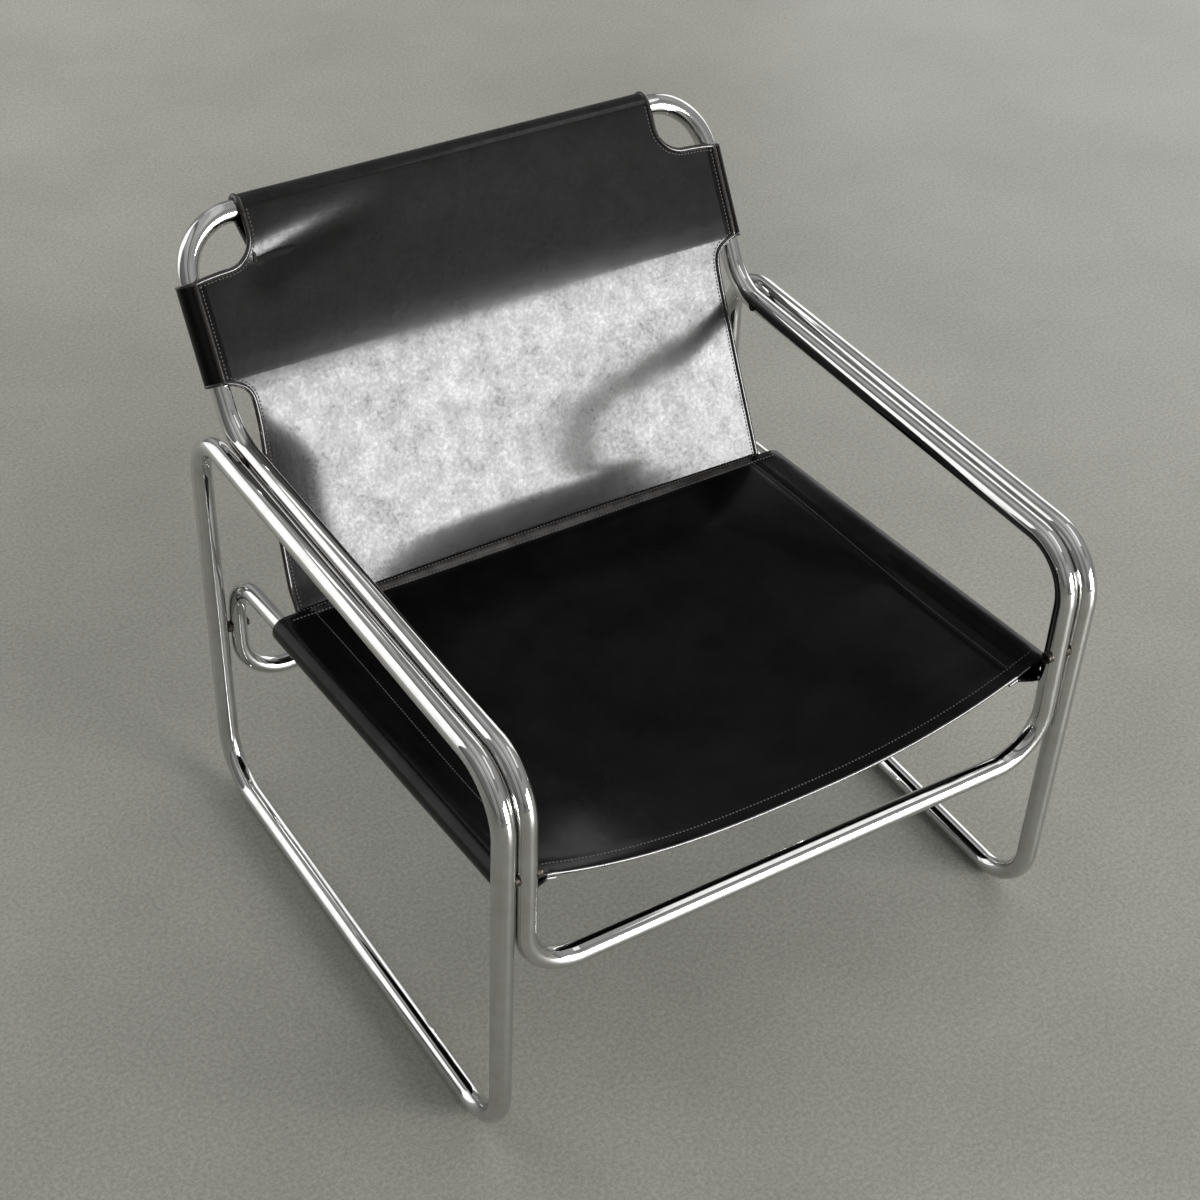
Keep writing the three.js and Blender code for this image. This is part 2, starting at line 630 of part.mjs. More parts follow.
// The hollow of the back between its sleeves
function backHollow(x, down, hangEnd) {
  const along = THREE.MathUtils.clamp((down - TOP_SLEEVE_SEAM) / (hangEnd - TOP_SLEEVE_SEAM), 0, 1);
  const across = Math.min(Math.abs(x) / (INNER_X - SIDE_SLEEVE_SEAM), 1);
  return BACK_HOLLOW * Math.sin(Math.PI * along) * (1 - across ** 2);
}

// Directions square to the sheet at each station, on its front side
function frontNormals(stations) {
  const across = point(1, 0, 0);
  return stations.map((station, i) => {
    const before = stations[Math.max(i - 1, 0)].at;
    const after = stations[Math.min(i + 1, stations.length - 1)].at;
    const into = i > 0 ? station.at.clone().sub(before).normalize() : point(0, 0, 0);
    const out = i < stations.length - 1 ? after.clone().sub(station.at).normalize() : point(0, 0, 0);
    return into.add(out).normalize().cross(across).normalize();
  });
}

// A closed sheet over a grid of stations and columns
function backSheet() {
  const { stations, hangEnd } = backStations();
  const normals = frontNormals(stations);
  const columns = bothWays(SHEET_SHARES);
  const places = [];
  stations.forEach((station, i) => {
    for (const share of columns) {
      const x = share * station.half;
      const offset = -backHollow(x, station.down, hangEnd);
      const middle = station.at.clone().setX(x).addScaledVector(normals[i], offset);
      places.push(middle.clone().addScaledVector(normals[i], BACK_LEATHER / 2));
      places.push(middle.clone().addScaledVector(normals[i], -BACK_LEATHER / 2));
    }
  });
  const index = [];
  const front = (i, j) => 2 * (i * columns.length + j);
  const rear = (i, j) => front(i, j) + 1;
  const quad = (a, b, c, d) => index.push(a, b, c, a, c, d);
  const lastRow = stations.length - 1;
  const lastColumn = columns.length - 1;
  for (let i = 0; i < lastRow; i += 1) {
    for (let j = 0; j < lastColumn; j += 1) {
      quad(front(i, j), front(i + 1, j), front(i + 1, j + 1), front(i, j + 1));
      quad(rear(i, j), rear(i, j + 1), rear(i + 1, j + 1), rear(i + 1, j));
    }
    quad(front(i, 0), rear(i, 0), rear(i + 1, 0), front(i + 1, 0));
    quad(front(i, lastColumn), front(i + 1, lastColumn), rear(i + 1, lastColumn), rear(i, lastColumn));
  }
  for (let j = 0; j < lastColumn; j += 1) {
    quad(front(0, j), front(0, j + 1), rear(0, j + 1), rear(0, j));
    quad(front(lastRow, j), rear(lastRow, j), rear(lastRow, j + 1), front(lastRow, j + 1));
  }
  const geometry = new THREE.BufferGeometry().setFromPoints(places);
  geometry.setIndex(index);
  return toSolid(geometry);
}

// The back sling: sheet, top sleeve and two side sleeves sewn into one
function backSling() {
  const across = point(1, 0, 0);
  const middleOut = across.clone().negate();
  const down = BACK_UP.clone().negate();
  const topStart = backPlace(-TOP_SLEEVE_LENGTH / 2, 0, 0);
  const top = sleevePrism(TOP_SLEEVE_SEAM, topStart, BACK_UP, BACK_FRONT, across, TOP_SLEEVE_LENGTH);
  const rightStart = backPlace(INNER_X, SIDE_SLEEVE_START, 0);
  const right = sleevePrism(SIDE_SLEEVE_SEAM, rightStart, across, BACK_FRONT, down, SIDE_SLEEVE_LENGTH);
  const leftStart = backPlace(-INNER_X, SLEEVE_END, 0);
  const left = sleevePrism(SIDE_SLEEVE_SEAM, leftStart, middleOut, BACK_FRONT, BACK_UP, SIDE_SLEEVE_LENGTH);
  return toGeometry(backSheet().add(top).add(right).add(left));
}

// Frame
for (const side of SIDES) {
  addNode(`side_loop_${side.name}`, sideLoop(side), chrome);
  const runnerMiddle = onSide(onLine(FRONT_FOOT, REAR_FOOT, 1 / 2), side.sign);
  addNode(`side_loop_joint_${side.name}`, jointPlug(runnerMiddle, point(0, 1, 0)), steel);
}
addNode('inner_frame', innerFrame(), chrome);
addNode('inner_frame_joint', jointPlug(TOP_MIDDLE, point(1, 0, 0)), steel);
addNode('seat_frame', seatFrame(), chrome);

// Fixings
for (const side of SIDES) {
  for (const fixing of FIXINGS) {
    addNode(`${fixing.name}_spacer_${side.name}`, spacer(fixing, side), nickel);
    addNode(`${fixing.name}_cap_${side.name}`, cap(fixing, side), nickel);
    addNode(`${fixing.name}_stud_${side.name}`, stud(fixing, side), steel);
  }
}

// Leather
const seat = addNode('seat_sling', seatSling(), leather);
seat.position.copy(seatPlace(0, SEAT_SLING_START, 0));
seat.rotation.x = Math.atan2(RAIL_BACK.z, RAIL_BACK.y);
addNode('back_sling', backSling(), leather);

// The origin lies on the floor under the middle of the chair
const extent = new THREE.Box3().setFromObject(chair);
chair.position.y = -(extent.min.y + extent.max.y) / 2;
chair.updateMatrixWorld(true);

export default chair;
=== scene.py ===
# %% [markdown]
# Lounge chair of bent chromed tube with a black leather seat and back.
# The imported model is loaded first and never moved. Every piece made here is
# modelled in metres in the same frame, then rides on the one body, root.

# %% Load the frame
import math
import bpy
import numpy as np
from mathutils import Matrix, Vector


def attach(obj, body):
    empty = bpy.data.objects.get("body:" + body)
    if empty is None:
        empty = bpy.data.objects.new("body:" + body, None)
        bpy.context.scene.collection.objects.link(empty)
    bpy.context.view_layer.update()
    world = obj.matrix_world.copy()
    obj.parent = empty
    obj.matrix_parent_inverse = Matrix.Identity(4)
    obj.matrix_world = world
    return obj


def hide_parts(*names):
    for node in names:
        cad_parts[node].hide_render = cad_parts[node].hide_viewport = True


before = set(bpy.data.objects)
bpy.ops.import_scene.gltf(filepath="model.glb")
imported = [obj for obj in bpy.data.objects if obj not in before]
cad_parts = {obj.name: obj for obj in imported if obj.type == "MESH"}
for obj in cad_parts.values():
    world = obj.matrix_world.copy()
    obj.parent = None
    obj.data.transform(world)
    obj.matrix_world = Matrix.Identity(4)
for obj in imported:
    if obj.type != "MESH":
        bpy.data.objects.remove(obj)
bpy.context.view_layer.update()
MM = 0.001
BODY = "root"
SIDES = (("left", -1), ("right", 1))


def mm(x, y, z):
    return Vector((x, y, z)) * MM


def start_fresh():
    if bpy.context.object and bpy.context.object.mode == "EDIT":
        bpy.ops.object.mode_set(mode="OBJECT")
    bpy.ops.object.select_all(action="DESELECT")


print("frame nodes:", len(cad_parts))

# %% [markdown]
# The camera stands high in front of the chair, to its left, and looks down by
# about 43 degrees. Its place, lens and shift were solved from straight tubes and
# corners of known places, so the render frames the chair as the photograph does.

# %% Camera
CAMERA_PLACE = (-1.16706, -1.66034, 2.02051)
CAMERA_AZIMUTH = math.radians(-35.34)
CAMERA_DROP = math.radians(42.82)
CAMERA_ROLL = math.radians(4.27)
CAMERA_LENS = 66.74
CAMERA_SHIFT = (-0.0052, 0.1063)


def add_camera():
    az, drop = CAMERA_AZIMUTH, CAMERA_DROP
    ahead = Vector((-math.sin(az), math.cos(az), 0)) * math.cos(drop)
    ahead.z = -math.sin(drop)
    level = Vector((math.cos(az), math.sin(az), 0))
    up = level.cross(ahead)
    right = level * math.cos(CAMERA_ROLL) + up * math.sin(CAMERA_ROLL)
    top = -level * math.sin(CAMERA_ROLL) + up * math.cos(CAMERA_ROLL)
    bpy.ops.object.camera_add(location=CAMERA_PLACE)
    camera = bpy.context.object
    camera.name = "camera"
    turned = camera.matrix_world.copy()
    for column, axis in enumerate((right, top, -ahead)):
        for row in range(3):
            turned[row][column] = axis[row]
    camera.matrix_world = turned
    camera.data.lens = CAMERA_LENS
    camera.data.shift_x, camera.data.shift_y = CAMERA_SHIFT
    bpy.context.scene.camera = camera
    return camera


start_fresh()
camera = add_camera()
print("camera at", tuple(round(c, 3) for c in camera.location))

# %% [markdown]
# The set is a pale floor, its colour painted lighter towards the back as painted
# light, a dim room all round and a few soft panels: a bright low window in front of
# the chair, to its right, with a dim blind above it, a second window behind, to its
# left, a pale wall behind, to its right, and two small ceiling lights. Chrome and
# black leather show almost nothing but what they reflect, so the panels and the
# tones of the room matter more here than the colour of the pieces.

# %% Floor, room and windows
FLOOR_SIDE = 14
FLOOR_COLOUR = (0.345, 0.345, 0.305)
FLOOR_DEEP, FLOOR_PALE = (0.78, 0.78, 0.77), (1.14, 1.14, 1.15)
# the turn of the floor's painted light, which makes its colour lighter towards the back
FLOOR_PAINTED_LIGHT_TURN = math.radians(-30)
FLOOR_ROUGHNESS = 0.42
# name, place, what it looks at, width and height, power in watts
LIGHTS = (
    ("low_window", (2.82, -5.16, 1.35), (0.0, 0.25, 1.35), (3.0, 2.2), 500),
    ("window_blind", (2.82, -5.16, 3.7), (0.0, 0.25, 3.7), (3.0, 2.4), 4),
    ("left_window", (-2.6, 3.3, 2.15), (0.0, 0.0, 2.15), (3.0, 4.2), 54),
    ("right_wall", (3.5, 2.2, 1.25), (0.0, 0.0, 1.25), (2.6, 2.3), 27),
    ("ceiling_light", (1.65, -0.75, 3.1), (1.65, -0.75, 0.0), (0.9, 1.9), 5.5),
    ("ceiling_strip", (0.26, 2.95, 3.45), (0.0, 0.0, 0.5), (1.8, 0.2), 1.8),
)
# (share of the way up or across the room, tone)
HEIGHT_TONES = (
    (0.0, 0.3), (0.49, 0.3), (0.51, 0.2), (0.6, 0.34), (0.86, 0.4), (0.94, 0.6), (1.0, 0.6),
)
ACROSS_TONES = (
    (0.0, 0.55), (0.12, 0.55), (0.14, 1.1), (0.30, 1.1), (0.32, 0.35), (0.36, 0.35), (0.38, 0.9),
    (0.5, 0.9), (0.52, 1.3), (0.6, 1.3), (0.64, 0.72), (0.8, 0.72), (0.83, 1.1), (1.0, 1.1),
)


def new_material(name):
    material = bpy.data.materials.new(name)
    material.use_nodes = True
    nodes, links = material.node_tree.nodes, material.node_tree.links
    return material, nodes, links, nodes["Principled BSDF"]


def noise(nodes, links, place, scale, detail=3.0, rough=0.5):
    node = nodes.new("ShaderNodeTexNoise")
    node.inputs["Scale"].default_value = scale
    node.inputs["Detail"].default_value = detail
    node.inputs["Roughness"].default_value = rough
    links.new(place, node.inputs["Vector"])
    return node.outputs["Fac"]


def spread(nodes, links, value, span, to):
    """The value with its span, low to high, mapped to another one."""
    node = nodes.new("ShaderNodeMapRange")
    node.inputs["From Min"].default_value, node.inputs["From Max"].default_value = span
    node.inputs["To Min"].default_value, node.inputs["To Max"].default_value = to
    links.new(value, node.inputs["Value"])
    return node.outputs["Result"]


def tones(nodes, links, value, stops):
    """A colour for the value, from stops of (place, colour)."""
    node = nodes.new("ShaderNodeValToRGB")
    ramp = node.color_ramp
    while len(ramp.elements) < len(stops):
        ramp.elements.new(0.5)
    for element, (place, colour) in zip(ramp.elements, stops):
        element.position = place
        element.color = colour
    links.new(value, node.inputs["Fac"])
    return node.outputs["Color"]


def grey(level):
    return (level, level, level, 1)


def stretched(nodes, links, place, scale, turn=(0, 0, 0)):
    node = nodes.new("ShaderNodeMapping")
    node.inputs["Scale"].default_value = scale
    node.inputs["Rotation"].default_value = turn
    links.new(place, node.inputs["Vector"])
    return node.outputs["Vector"]


def floor_material():
    material, nodes, links, shader = new_material("floor_concrete")
    place = nodes.new("ShaderNodeTexCoord").outputs["Object"]
    grain = noise(nodes, links, place, scale=190, detail=9, rough=0.85)
    grain = spread(nodes, links, grain, (0.34, 0.66), (0.1, 0.9))
    deep, pale = (
        tuple(c * part for c, part in zip(FLOOR_COLOUR, parts)) + (1,)
        for parts in (FLOOR_DEEP, FLOOR_PALE)
    )
    # Painted light: the colour grows up to 1.6 times lighter towards the back, along the turned
    # y. The wide noise is the floor's own patchy tone.
    turned = stretched(nodes, links, place, (1, 1, 1), (0, 0, FLOOR_PAINTED_LIGHT_TURN))
    apart = nodes.new("ShaderNodeSeparateXYZ")
    links.new(turned, apart.inputs["Vector"])
    wide = noise(nodes, links, place, scale=2.4, detail=4, rough=0.6)
    patches_and_painted_light = nodes.new("ShaderNodeMath")
    patches_and_painted_light.operation = "MULTIPLY"
    links.new(spread(nodes, links, wide, (0.3, 0.7), (0.9, 1.08)), patches_and_painted_light.inputs[0])
    links.new(spread(nodes, links, apart.outputs["Y"], (0.3, 2.4), (0.97, 1.6)), patches_and_painted_light.inputs[1])
    lighter = nodes.new("ShaderNodeVectorMath")
    lighter.operation = "SCALE"
    links.new(tones(nodes, links, grain, [(0.3, deep), (0.7, pale)]), lighter.inputs["Vector"])
    links.new(patches_and_painted_light.outputs["Value"], lighter.inputs["Scale"])
    links.new(lighter.outputs["Vector"], shader.inputs["Base Color"])
    shader.inputs["Roughness"].default_value = FLOOR_ROUGHNESS
    return material


def room():
    """A dim room: its tone changes with height, and from left to right."""
    world = bpy.data.worlds.new("room")
    bpy.context.scene.world = world
    world.use_nodes = True
    nodes, links = world.node_tree.nodes, world.node_tree.links
    background = nodes["Background"]
    apart = nodes.new("ShaderNodeSeparateXYZ")
    links.new(nodes.new("ShaderNodeTexCoord").outputs["Generated"], apart.inputs["Vector"])
    mixed = nodes.new("ShaderNodeMix")
    mixed.data_type, mixed.blend_type = "RGBA", "MULTIPLY"
    mixed.inputs["Factor"].default_value = 1
    height = spread(nodes, links, apart.outputs["Z"], (-1, 1), (0, 1))
    across = spread(nodes, links, apart.outputs["X"], (-1, 1), (0, 1))
    for share, levels, socket in ((height, HEIGHT_TONES, 6), (across, ACROSS_TONES, 7)):
        stops = [(place, grey(level)) for place, level in levels]
        links.new(tones(nodes, links, share, stops), mixed.inputs[socket])
    links.new(mixed.outputs[2], background.inputs["Color"])


def soft_light(name, place, looks_at, size, power):
    start_fresh()
    aim = Vector(looks_at) - Vector(place)
    turn = aim.to_track_quat("-Z", "Y").to_euler()
    bpy.ops.object.light_add(type="AREA", location=place, rotation=turn)
    lamp = bpy.context.object
    lamp.name = name
    lamp.data.shape = "RECTANGLE"
    lamp.data.size, lamp.data.size_y = size
    lamp.data.energy = power
    lamp.visible_camera = False


start_fresh()
bpy.ops.mesh.primitive_plane_add(size=FLOOR_SIDE)
floor = bpy.context.object
floor.name = "floor"
floor.data.materials.append(floor_material())
room()
for light in LIGHTS:
    soft_light(*light)
bpy.context.scene.view_settings.view_transform = "Standard"
print("floor, room and", len(LIGHTS), "soft panels are set")

# %% [markdown]
# Finishes. Chrome is a metal with hardly any roughness, broken up by fine wiping
# marks. Leather is a dark, slightly brown black under a polished top coat. Its
# gloss changes in a fine mottle and wider patches, and a grain and shallow
# wrinkles bend it. The back is polished by use and the seat is duller. The hems
# are paler, with rubbed wear and a painted sheen: their lighter colour stands in
# for the grey sheen they catch. Each is one node material on Object coordinates,
# so a finish runs on from piece to piece.

# %% Finishes


def bump(nodes, links, shader, layers):
    """layers: (value, strength, height in millimetres), one on top of the other."""
    previous = None
    for value, strength, distance in layers:
        node = nodes.new("ShaderNodeBump")
        node.inputs["Strength"].default_value = strength
        node.inputs["Distance"].default_value = distance * MM
        links.new(value, node.inputs["Height"])
        if previous is not None:
            links.new(previous, node.inputs["Normal"])
        previous = node.outputs["Normal"]
    links.new(previous, shader.inputs["Normal"])


def chrome_finish():
    material, nodes, links, shader = new_material("chrome_tube")
    place = nodes.new("ShaderNodeTexCoord").outputs["Object"]
    wiped = stretched(nodes, links, place, (1, 0.06, 1))
    wipes = noise(nodes, links, wiped, scale=900, detail=2)
    haze = noise(nodes, links, place, scale=38, detail=4, rough=0.6)
    stops = [(0.35, (0.55, 0.545, 0.53, 1)), (0.62, (0.62, 0.62, 0.615, 1))]
    links.new(tones(nodes, links, haze, stops), shader.inputs["Base Color"])
    rough = spread(nodes, links, wipes, (0.35, 0.75), (0.02, 0.075))
    links.new(rough, shader.inputs["Roughness"])
    shader.inputs["Metallic"].default_value = 1
    bump(nodes, links, shader, [(wipes, 0.05, 0.05)])
    return material


def nickel_finish():
    material, nodes, links, shader = new_material("worn_nickel")
    place = nodes.new("ShaderNodeTexCoord").outputs["Object"]
    stain = noise(nodes, links, place, scale=420, detail=4, rough=0.65)
    stops = [
        (0.3, (0.008, 0.006, 0.004, 1)),
        (0.55, (0.03, 0.024, 0.018, 1)),
        (0.75, (0.13, 0.11, 0.085, 1)),
    ]
    links.new(tones(nodes, links, stain, stops), shader.inputs["Base Color"])
    rough = spread(nodes, links, stain, (0.3, 0.7), (0.6, 0.4))
    links.new(rough, shader.inputs["Roughness"])
    shader.inputs["Metallic"].default_value = 0.7
    bump(nodes, links, shader, [(stain, 0.2, 0.15)])
    return material


def steel_finish():
    material, nodes, links, shader = new_material("plain_steel")
    place = nodes.new("ShaderNodeTexCoord").outputs["Object"]
    along = stretched(nodes, links, place, (0.1, 1, 1))
    turned = noise(nodes, links, along, scale=1500, detail=2)
    stops = [(0.3, grey(0.2)), (0.7, grey(0.42))]
    links.new(tones(nodes, links, turned, stops), shader.inputs["Base Color"])
    rough = spread(nodes, links, turned, (0.3, 0.7), (0.3, 0.5))
    links.new(rough, shader.inputs["Roughness"])
    shader.inputs["Metallic"].default_value = 1
    bump(nodes, links, shader, [(turned, 0.1, 0.1)])
    return material


def leather_finish(name, coat, shades, gloss, patch_scale, patch_share):
    """coat: its weight from most to least polished. shades: darkest and palest."""
    material, nodes, links, shader = new_material(name)
    place = nodes.new("ShaderNodeTexCoord").outputs["Object"]
    clouds = noise(nodes, links, place, scale=26, detail=5, rough=0.62)
    mottle = noise(nodes, links, place, scale=210, detail=9, rough=0.8)
    patches = noise(nodes, links, place, scale=patch_scale, detail=4, rough=0.6)
    grain = noise(nodes, links, place, scale=900, detail=3, rough=0.6)
    drawn = stretched(nodes, links, place, (1.6, 0.7, 0.7))
    wrinkles = noise(nodes, links, drawn, scale=60, detail=5, rough=0.7)
    deep, pale = shades
    stops = [
        (0.35, (deep, deep * 0.86, deep * 0.78, 1)),
        (0.65, (pale, pale * 0.92, pale * 0.88, 1)),
    ]
    links.new(tones(nodes, links, clouds, stops), shader.inputs["Base Color"])
    both = nodes.new("ShaderNodeMix")
    both.inputs["Factor"].default_value = patch_share
    links.new(mottle, both.inputs["A"])
    links.new(patches, both.inputs["B"])
    worn = both.outputs["Result"]
    rough = spread(nodes, links, worn, (0.3, 0.7), (0.2, 0.3))
    links.new(rough, shader.inputs["Roughness"])
    shader.inputs["Specular IOR Level"].default_value = gloss
    links.new(spread(nodes, links, worn, (0.32, 0.68), coat), shader.inputs["Coat Weight"])
    shader.inputs["Coat Roughness"].default_value = 0.13
    layers = [(wrinkles, 0.12, 3.0), (mottle, 0.10, 0.35), (grain, 0.15, 0.12)]
    bump(nodes, links, shader, layers)
    return material


def edge_finish():
    material, nodes, links, shader = new_material("rolled_leather_edge")
    place = nodes.new("ShaderNodeTexCoord").outputs["Object"]
    mottle = noise(nodes, links, place, scale=300, detail=4, rough=0.6)
    stops = [(0.35, (0.007, 0.006, 0.0055, 1)), (0.7, (0.018, 0.014, 0.012, 1))]
    links.new(tones(nodes, links, mottle, stops), shader.inputs["Base Color"])
    rough = spread(nodes, links, mottle, (0.3, 0.7), (0.2, 0.36))
    links.new(rough, shader.inputs["Roughness"])
    shader.inputs["Coat Weight"].default_value = 0.4
    bump(nodes, links, shader, [(mottle, 0.15, 0.4)])
    return material


def thread_finish():
    material, nodes, links, shader = new_material("waxed_thread")
    place = nodes.new("ShaderNodeTexCoord").outputs["Object"]
    twist = noise(nodes, links, place, scale=1800, detail=2)
    stops = [(0.35, grey(0.035)), (0.7, grey(0.09))]
    links.new(tones(nodes, links, twist, stops), shader.inputs["Base Color"])
    shader.inputs["Roughness"].default_value = 0.45
    bump(nodes, links, shader, [(twist, 0.3, 0.15)])
    return material


chrome = chrome_finish()
nickel = nickel_finish()
steel = steel_finish()
leather = leather_finish("polished_leather", (0.92, 0.12), (0.0036, 0.0065), 0.1, 34, 0.35)
seat_leather = leather_finish("dull_leather", (0.28, 0.0), (0.0014, 0.0032), 0.06, 7, 0.8)
# the hems: rubbed wear and painted sheen, a much paler colour standing in for their grey sheen
rubbed_and_sheen_leather = leather_finish("rubbed_and_sheen_leather", (1.0, 0.7), (0.003, 0.085), 0.4, 34, 0.35)
leather_edge = edge_finish()
thread = thread_finish()
print("finishes:", len(bpy.data.materials))

# %% [markdown]
# The corners of the tubes. A bent tube is known by the points where its straight
# runs would meet, and by the radius of the bend at each. These are the corners
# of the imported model, right-hand side, in millimetres, each with its bend.

# %% Corners of the tubes
MAIN_RADIUS = 12.5
SEAT_RADIUS = 11
LOOP_X, INNER_X = 374, 347
BACK_TOP = (INNER_X, 390.26, 733.18)
RAIL_FRONT = (INNER_X, -386.06, 376)
LOOP = (
    ((LOOP_X, -397, MAIN_RADIUS), 70),
    ((LOOP_X, -383, 539), 70),
    ((LOOP_X, 304, 530.5), 65),
    ((LOOP_X, 281, MAIN_RADIUS), 65),
)
INNER = (
    (BACK_TOP, 68),
    ((INNER_X, 259, 531.06), 68),
    ((INNER_X, -378, 538.94), 64),
    ((INNER_X, -391.5, 266), 65),
)
SEAT_CORNERS = (((INNER_X, 296, 314), 68), ((INNER_X, 285, 152), 58))
TUBE_SIDES = 48
BEND_STEP = math.radians(5)
MERGE_WITHIN = 0.02
TUBE_SMOOTH = math.radians(35)


def on_side(corner, side):
    return Vector((corner[0] * side, corner[1], corner[2])) * MM


def round_trip(corners):
    right = [(on_side(place, 1), bend * MM) for place, bend in corners]
    left = [(on_side(place, -1), bend * MM) for place, bend in corners]
    return right + left[::-1]


print("clear width between the inner arms:", 2 * (INNER_X - MAIN_RADIUS), "mm")

# %% [markdown]
# A bent tube can be a curve with a round bevel, but a bender works as the steps
# here do: a round ring is pushed along the straight run, then swung round the
# bend. So a circle is extruded to the start of each bend and spun about the
# bend's centre. A closed tube ends on its own first ring and is merged there.

# %% Bent tube helpers


def push(distance, along):
    bpy.ops.mesh.extrude_edges_move(TRANSFORM_OT_translate={"value": along * distance})


def bent_tube(name, start, corners, end, radius, closed):
    """A tube bent through corners of (place, bend radius), all in metres."""
    start_fresh()
    places = [start] + [place for place, bend in corners] + [end]
    along = (places[1] - start).normalized()
    turn = along.to_track_quat("Z", "Y").to_euler()
    fill = "NOTHING" if closed else "NGON"
    bpy.ops.mesh.primitive_circle_add(
        vertices=TUBE_SIDES, radius=radius * MM, fill_type=fill, location=start, rotation=turn
    )
    tube = bpy.context.object
    tube.name = name
    bpy.ops.object.mode_set(mode="EDIT")
    bpy.ops.mesh.select_all(action="SELECT")
    here = start
    for (corner, bend), after in zip(corners, places[2:]):
        onward = (after - corner).normalized()
        swing = along.angle(onward)
        axis = along.cross(onward).normalized()
        bend_start = corner - along * bend * math.tan(swing / 2)
        push((bend_start - here).length, along)
        centre = bend_start + axis.cross(along).normalized() * bend
        steps = max(2, round(swing / BEND_STEP))
        bpy.ops.mesh.spin(steps=steps, dupli=False, angle=-swing, center=centre, axis=axis)
        here = corner + onward * bend * math.tan(swing / 2)
        along = onward
    push((end - here).length, along)
    if not closed:
        bpy.ops.mesh.edge_face_add()
    bpy.ops.mesh.select_all(action="SELECT")
    bpy.ops.mesh.remove_doubles(threshold=MERGE_WITHIN * MM)
    bpy.ops.mesh.normals_make_consistent(inside=False)
    bpy.ops.object.mode_set(mode="OBJECT")
    bpy.ops.object.transform_apply(location=True, rotation=True, scale=True)
    bpy.ops.object.shade_smooth_by_angle(angle=TUBE_SMOOTH)
    print(name, len(tube.data.polygons), "faces")
    return tube


def place_piece(piece, finish, slot, *nodes):
    piece.data.materials.clear()
    piece.data.materials.append(finish)
    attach(piece, BODY)
    if nodes:
        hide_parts(*nodes)


print("sides of a tube:", TUBE_SIDES)

# %% [markdown]
# The side loops: arm, front leg, floor runner and rear leg in one closed tube.
# The right one is bent, and the left one is its copy mirrored across the chair.

# %% Side loops


def mirrored_copy(piece, name):
    start_fresh()
    piece.select_set(True)
    bpy.context.view_layer.objects.active = piece
    bpy.ops.object.duplicate()
    copy = bpy.context.object
    copy.name = name
    bpy.ops.object.mode_set(mode="EDIT")
    bpy.ops.mesh.select_all(action="SELECT")
    bpy.ops.transform.mirror(constraint_axis=(True, False, False), center_override=(0, 0, 0))
    bpy.ops.mesh.normals_make_consistent(inside=False)
    bpy.ops.object.mode_set(mode="OBJECT")
    return copy


runner_middle = (on_side(LOOP[0][0], 1) + on_side(LOOP[3][0], 1)) / 2
loop_corners = [(on_side(place, 1), bend * MM) for place, bend in LOOP]
loop_right = bent_tube(
    "side_loop_right_tube", runner_middle, loop_corners, runner_middle, MAIN_RADIUS, closed=True
)
loop_left = mirrored_copy(loop_right, "side_loop_left_tube")
place_piece(loop_right, chrome, "chrome_tube", "side_loop_right")
place_piece(loop_left, chrome, "chrome_tube", "side_loop_left")

# %% [markdown]
# The inner frame is one closed tube too: across the back's top, down to the
# knees, along the arms, down the front and across under the seat. The seat frame
# is open: its rails start in the inner front legs, run back, drop and join low
# behind the seat.

# %% Inner frame and seat frame
top_middle = mm(0, BACK_TOP[1], BACK_TOP[2])
inner = bent_tube(
    "inner_frame_tube", top_middle, round_trip(INNER), top_middle, MAIN_RADIUS, closed=True
)
place_piece(inner, chrome, "chrome_tube", "inner_frame")
rail_starts = [on_side(RAIL_FRONT, side) for side in (1, -1)]
seat_tube = bent_tube(
    "seat_frame_tube", rail_starts[0], round_trip(SEAT_CORNERS), rail_starts[1], SEAT_RADIUS,
    closed=False,
)
place_piece(seat_tube, chrome, "chrome_tube", "seat_frame")

# %% [markdown]
# Leather is a sheet, so both slings are built as sheets: a grid of places that
# follow the real cut, folded and wrapped as the maker does, which then gets the
# thickness of the hide. A cloth simulation isn't needed, because the hide is
# stiff and stretched over tubes, and its hang is a smooth curve. Each crease is
# a low ridge along a line on the sheet, and fades from its first end to its last.

# %% Leather helpers
SEAT_SKIN = 2.6
BACK_SKIN = 3.0
FOLD_GAP = 0.1
WRAP_STEP = math.radians(7.5)
CREASE_FADE = 1.6
BEAD_STEPS, BEAD_MERGE_WITHIN = 3, 0.01
SHEET_SMOOTH, BEAD_SMOOTH = math.radians(50), math.radians(60)


def steps_between(a, b, count):
    return [a + (b - a) * i / count for i in range(count + 1)]


def smooth_step(value, low, high):
    share = min(max((value - low) / (high - low), 0.0), 1.0)
    return share * share * (3 - 2 * share)


def hump(value, middle, width):
    return math.exp(-(((value - middle) / width) ** 2))


def creased(x, down, creases):
    """How far creases of (start, end, width, height) lift a sheet off its hang."""
    lift = 0
    here = Vector((x, down))
    for start, end, width, height in creases:
        start, run = Vector(start), Vector(end) - Vector(start)
        share = min(max((here - start).dot(run) / run.length_squared, 0), 1)
        away = (here - start - run * share).length
        lift += height * (1 - share**CREASE_FADE) * hump(away, 0, width)
    return lift


def wrap_section(radius, seam, seam_drop, flap):
    """Places round a tube, from the crest to past the seam under the sheet."""
    low = radius - seam_drop
    reach = math.hypot(seam, low)
    touch = math.atan2(low, -seam) + math.acos(radius / reach) - 2 * math.pi
    count = math.ceil((math.pi / 2 - touch) / WRAP_STEP)
    angles = steps_between(math.pi / 2, touch, count)
    places = [(radius * math.cos(a), radius * math.sin(a)) for a in angles[1:]]
    last = places[-1]
    for share in (0.2, 0.4, 0.6, 0.8, 1):
        places.append((last[0] + (-seam - last[0]) * share, last[1] + (low - last[1]) * share))
    places += [(-seam - flap / 2, low), (-seam - flap, low)]
    return places


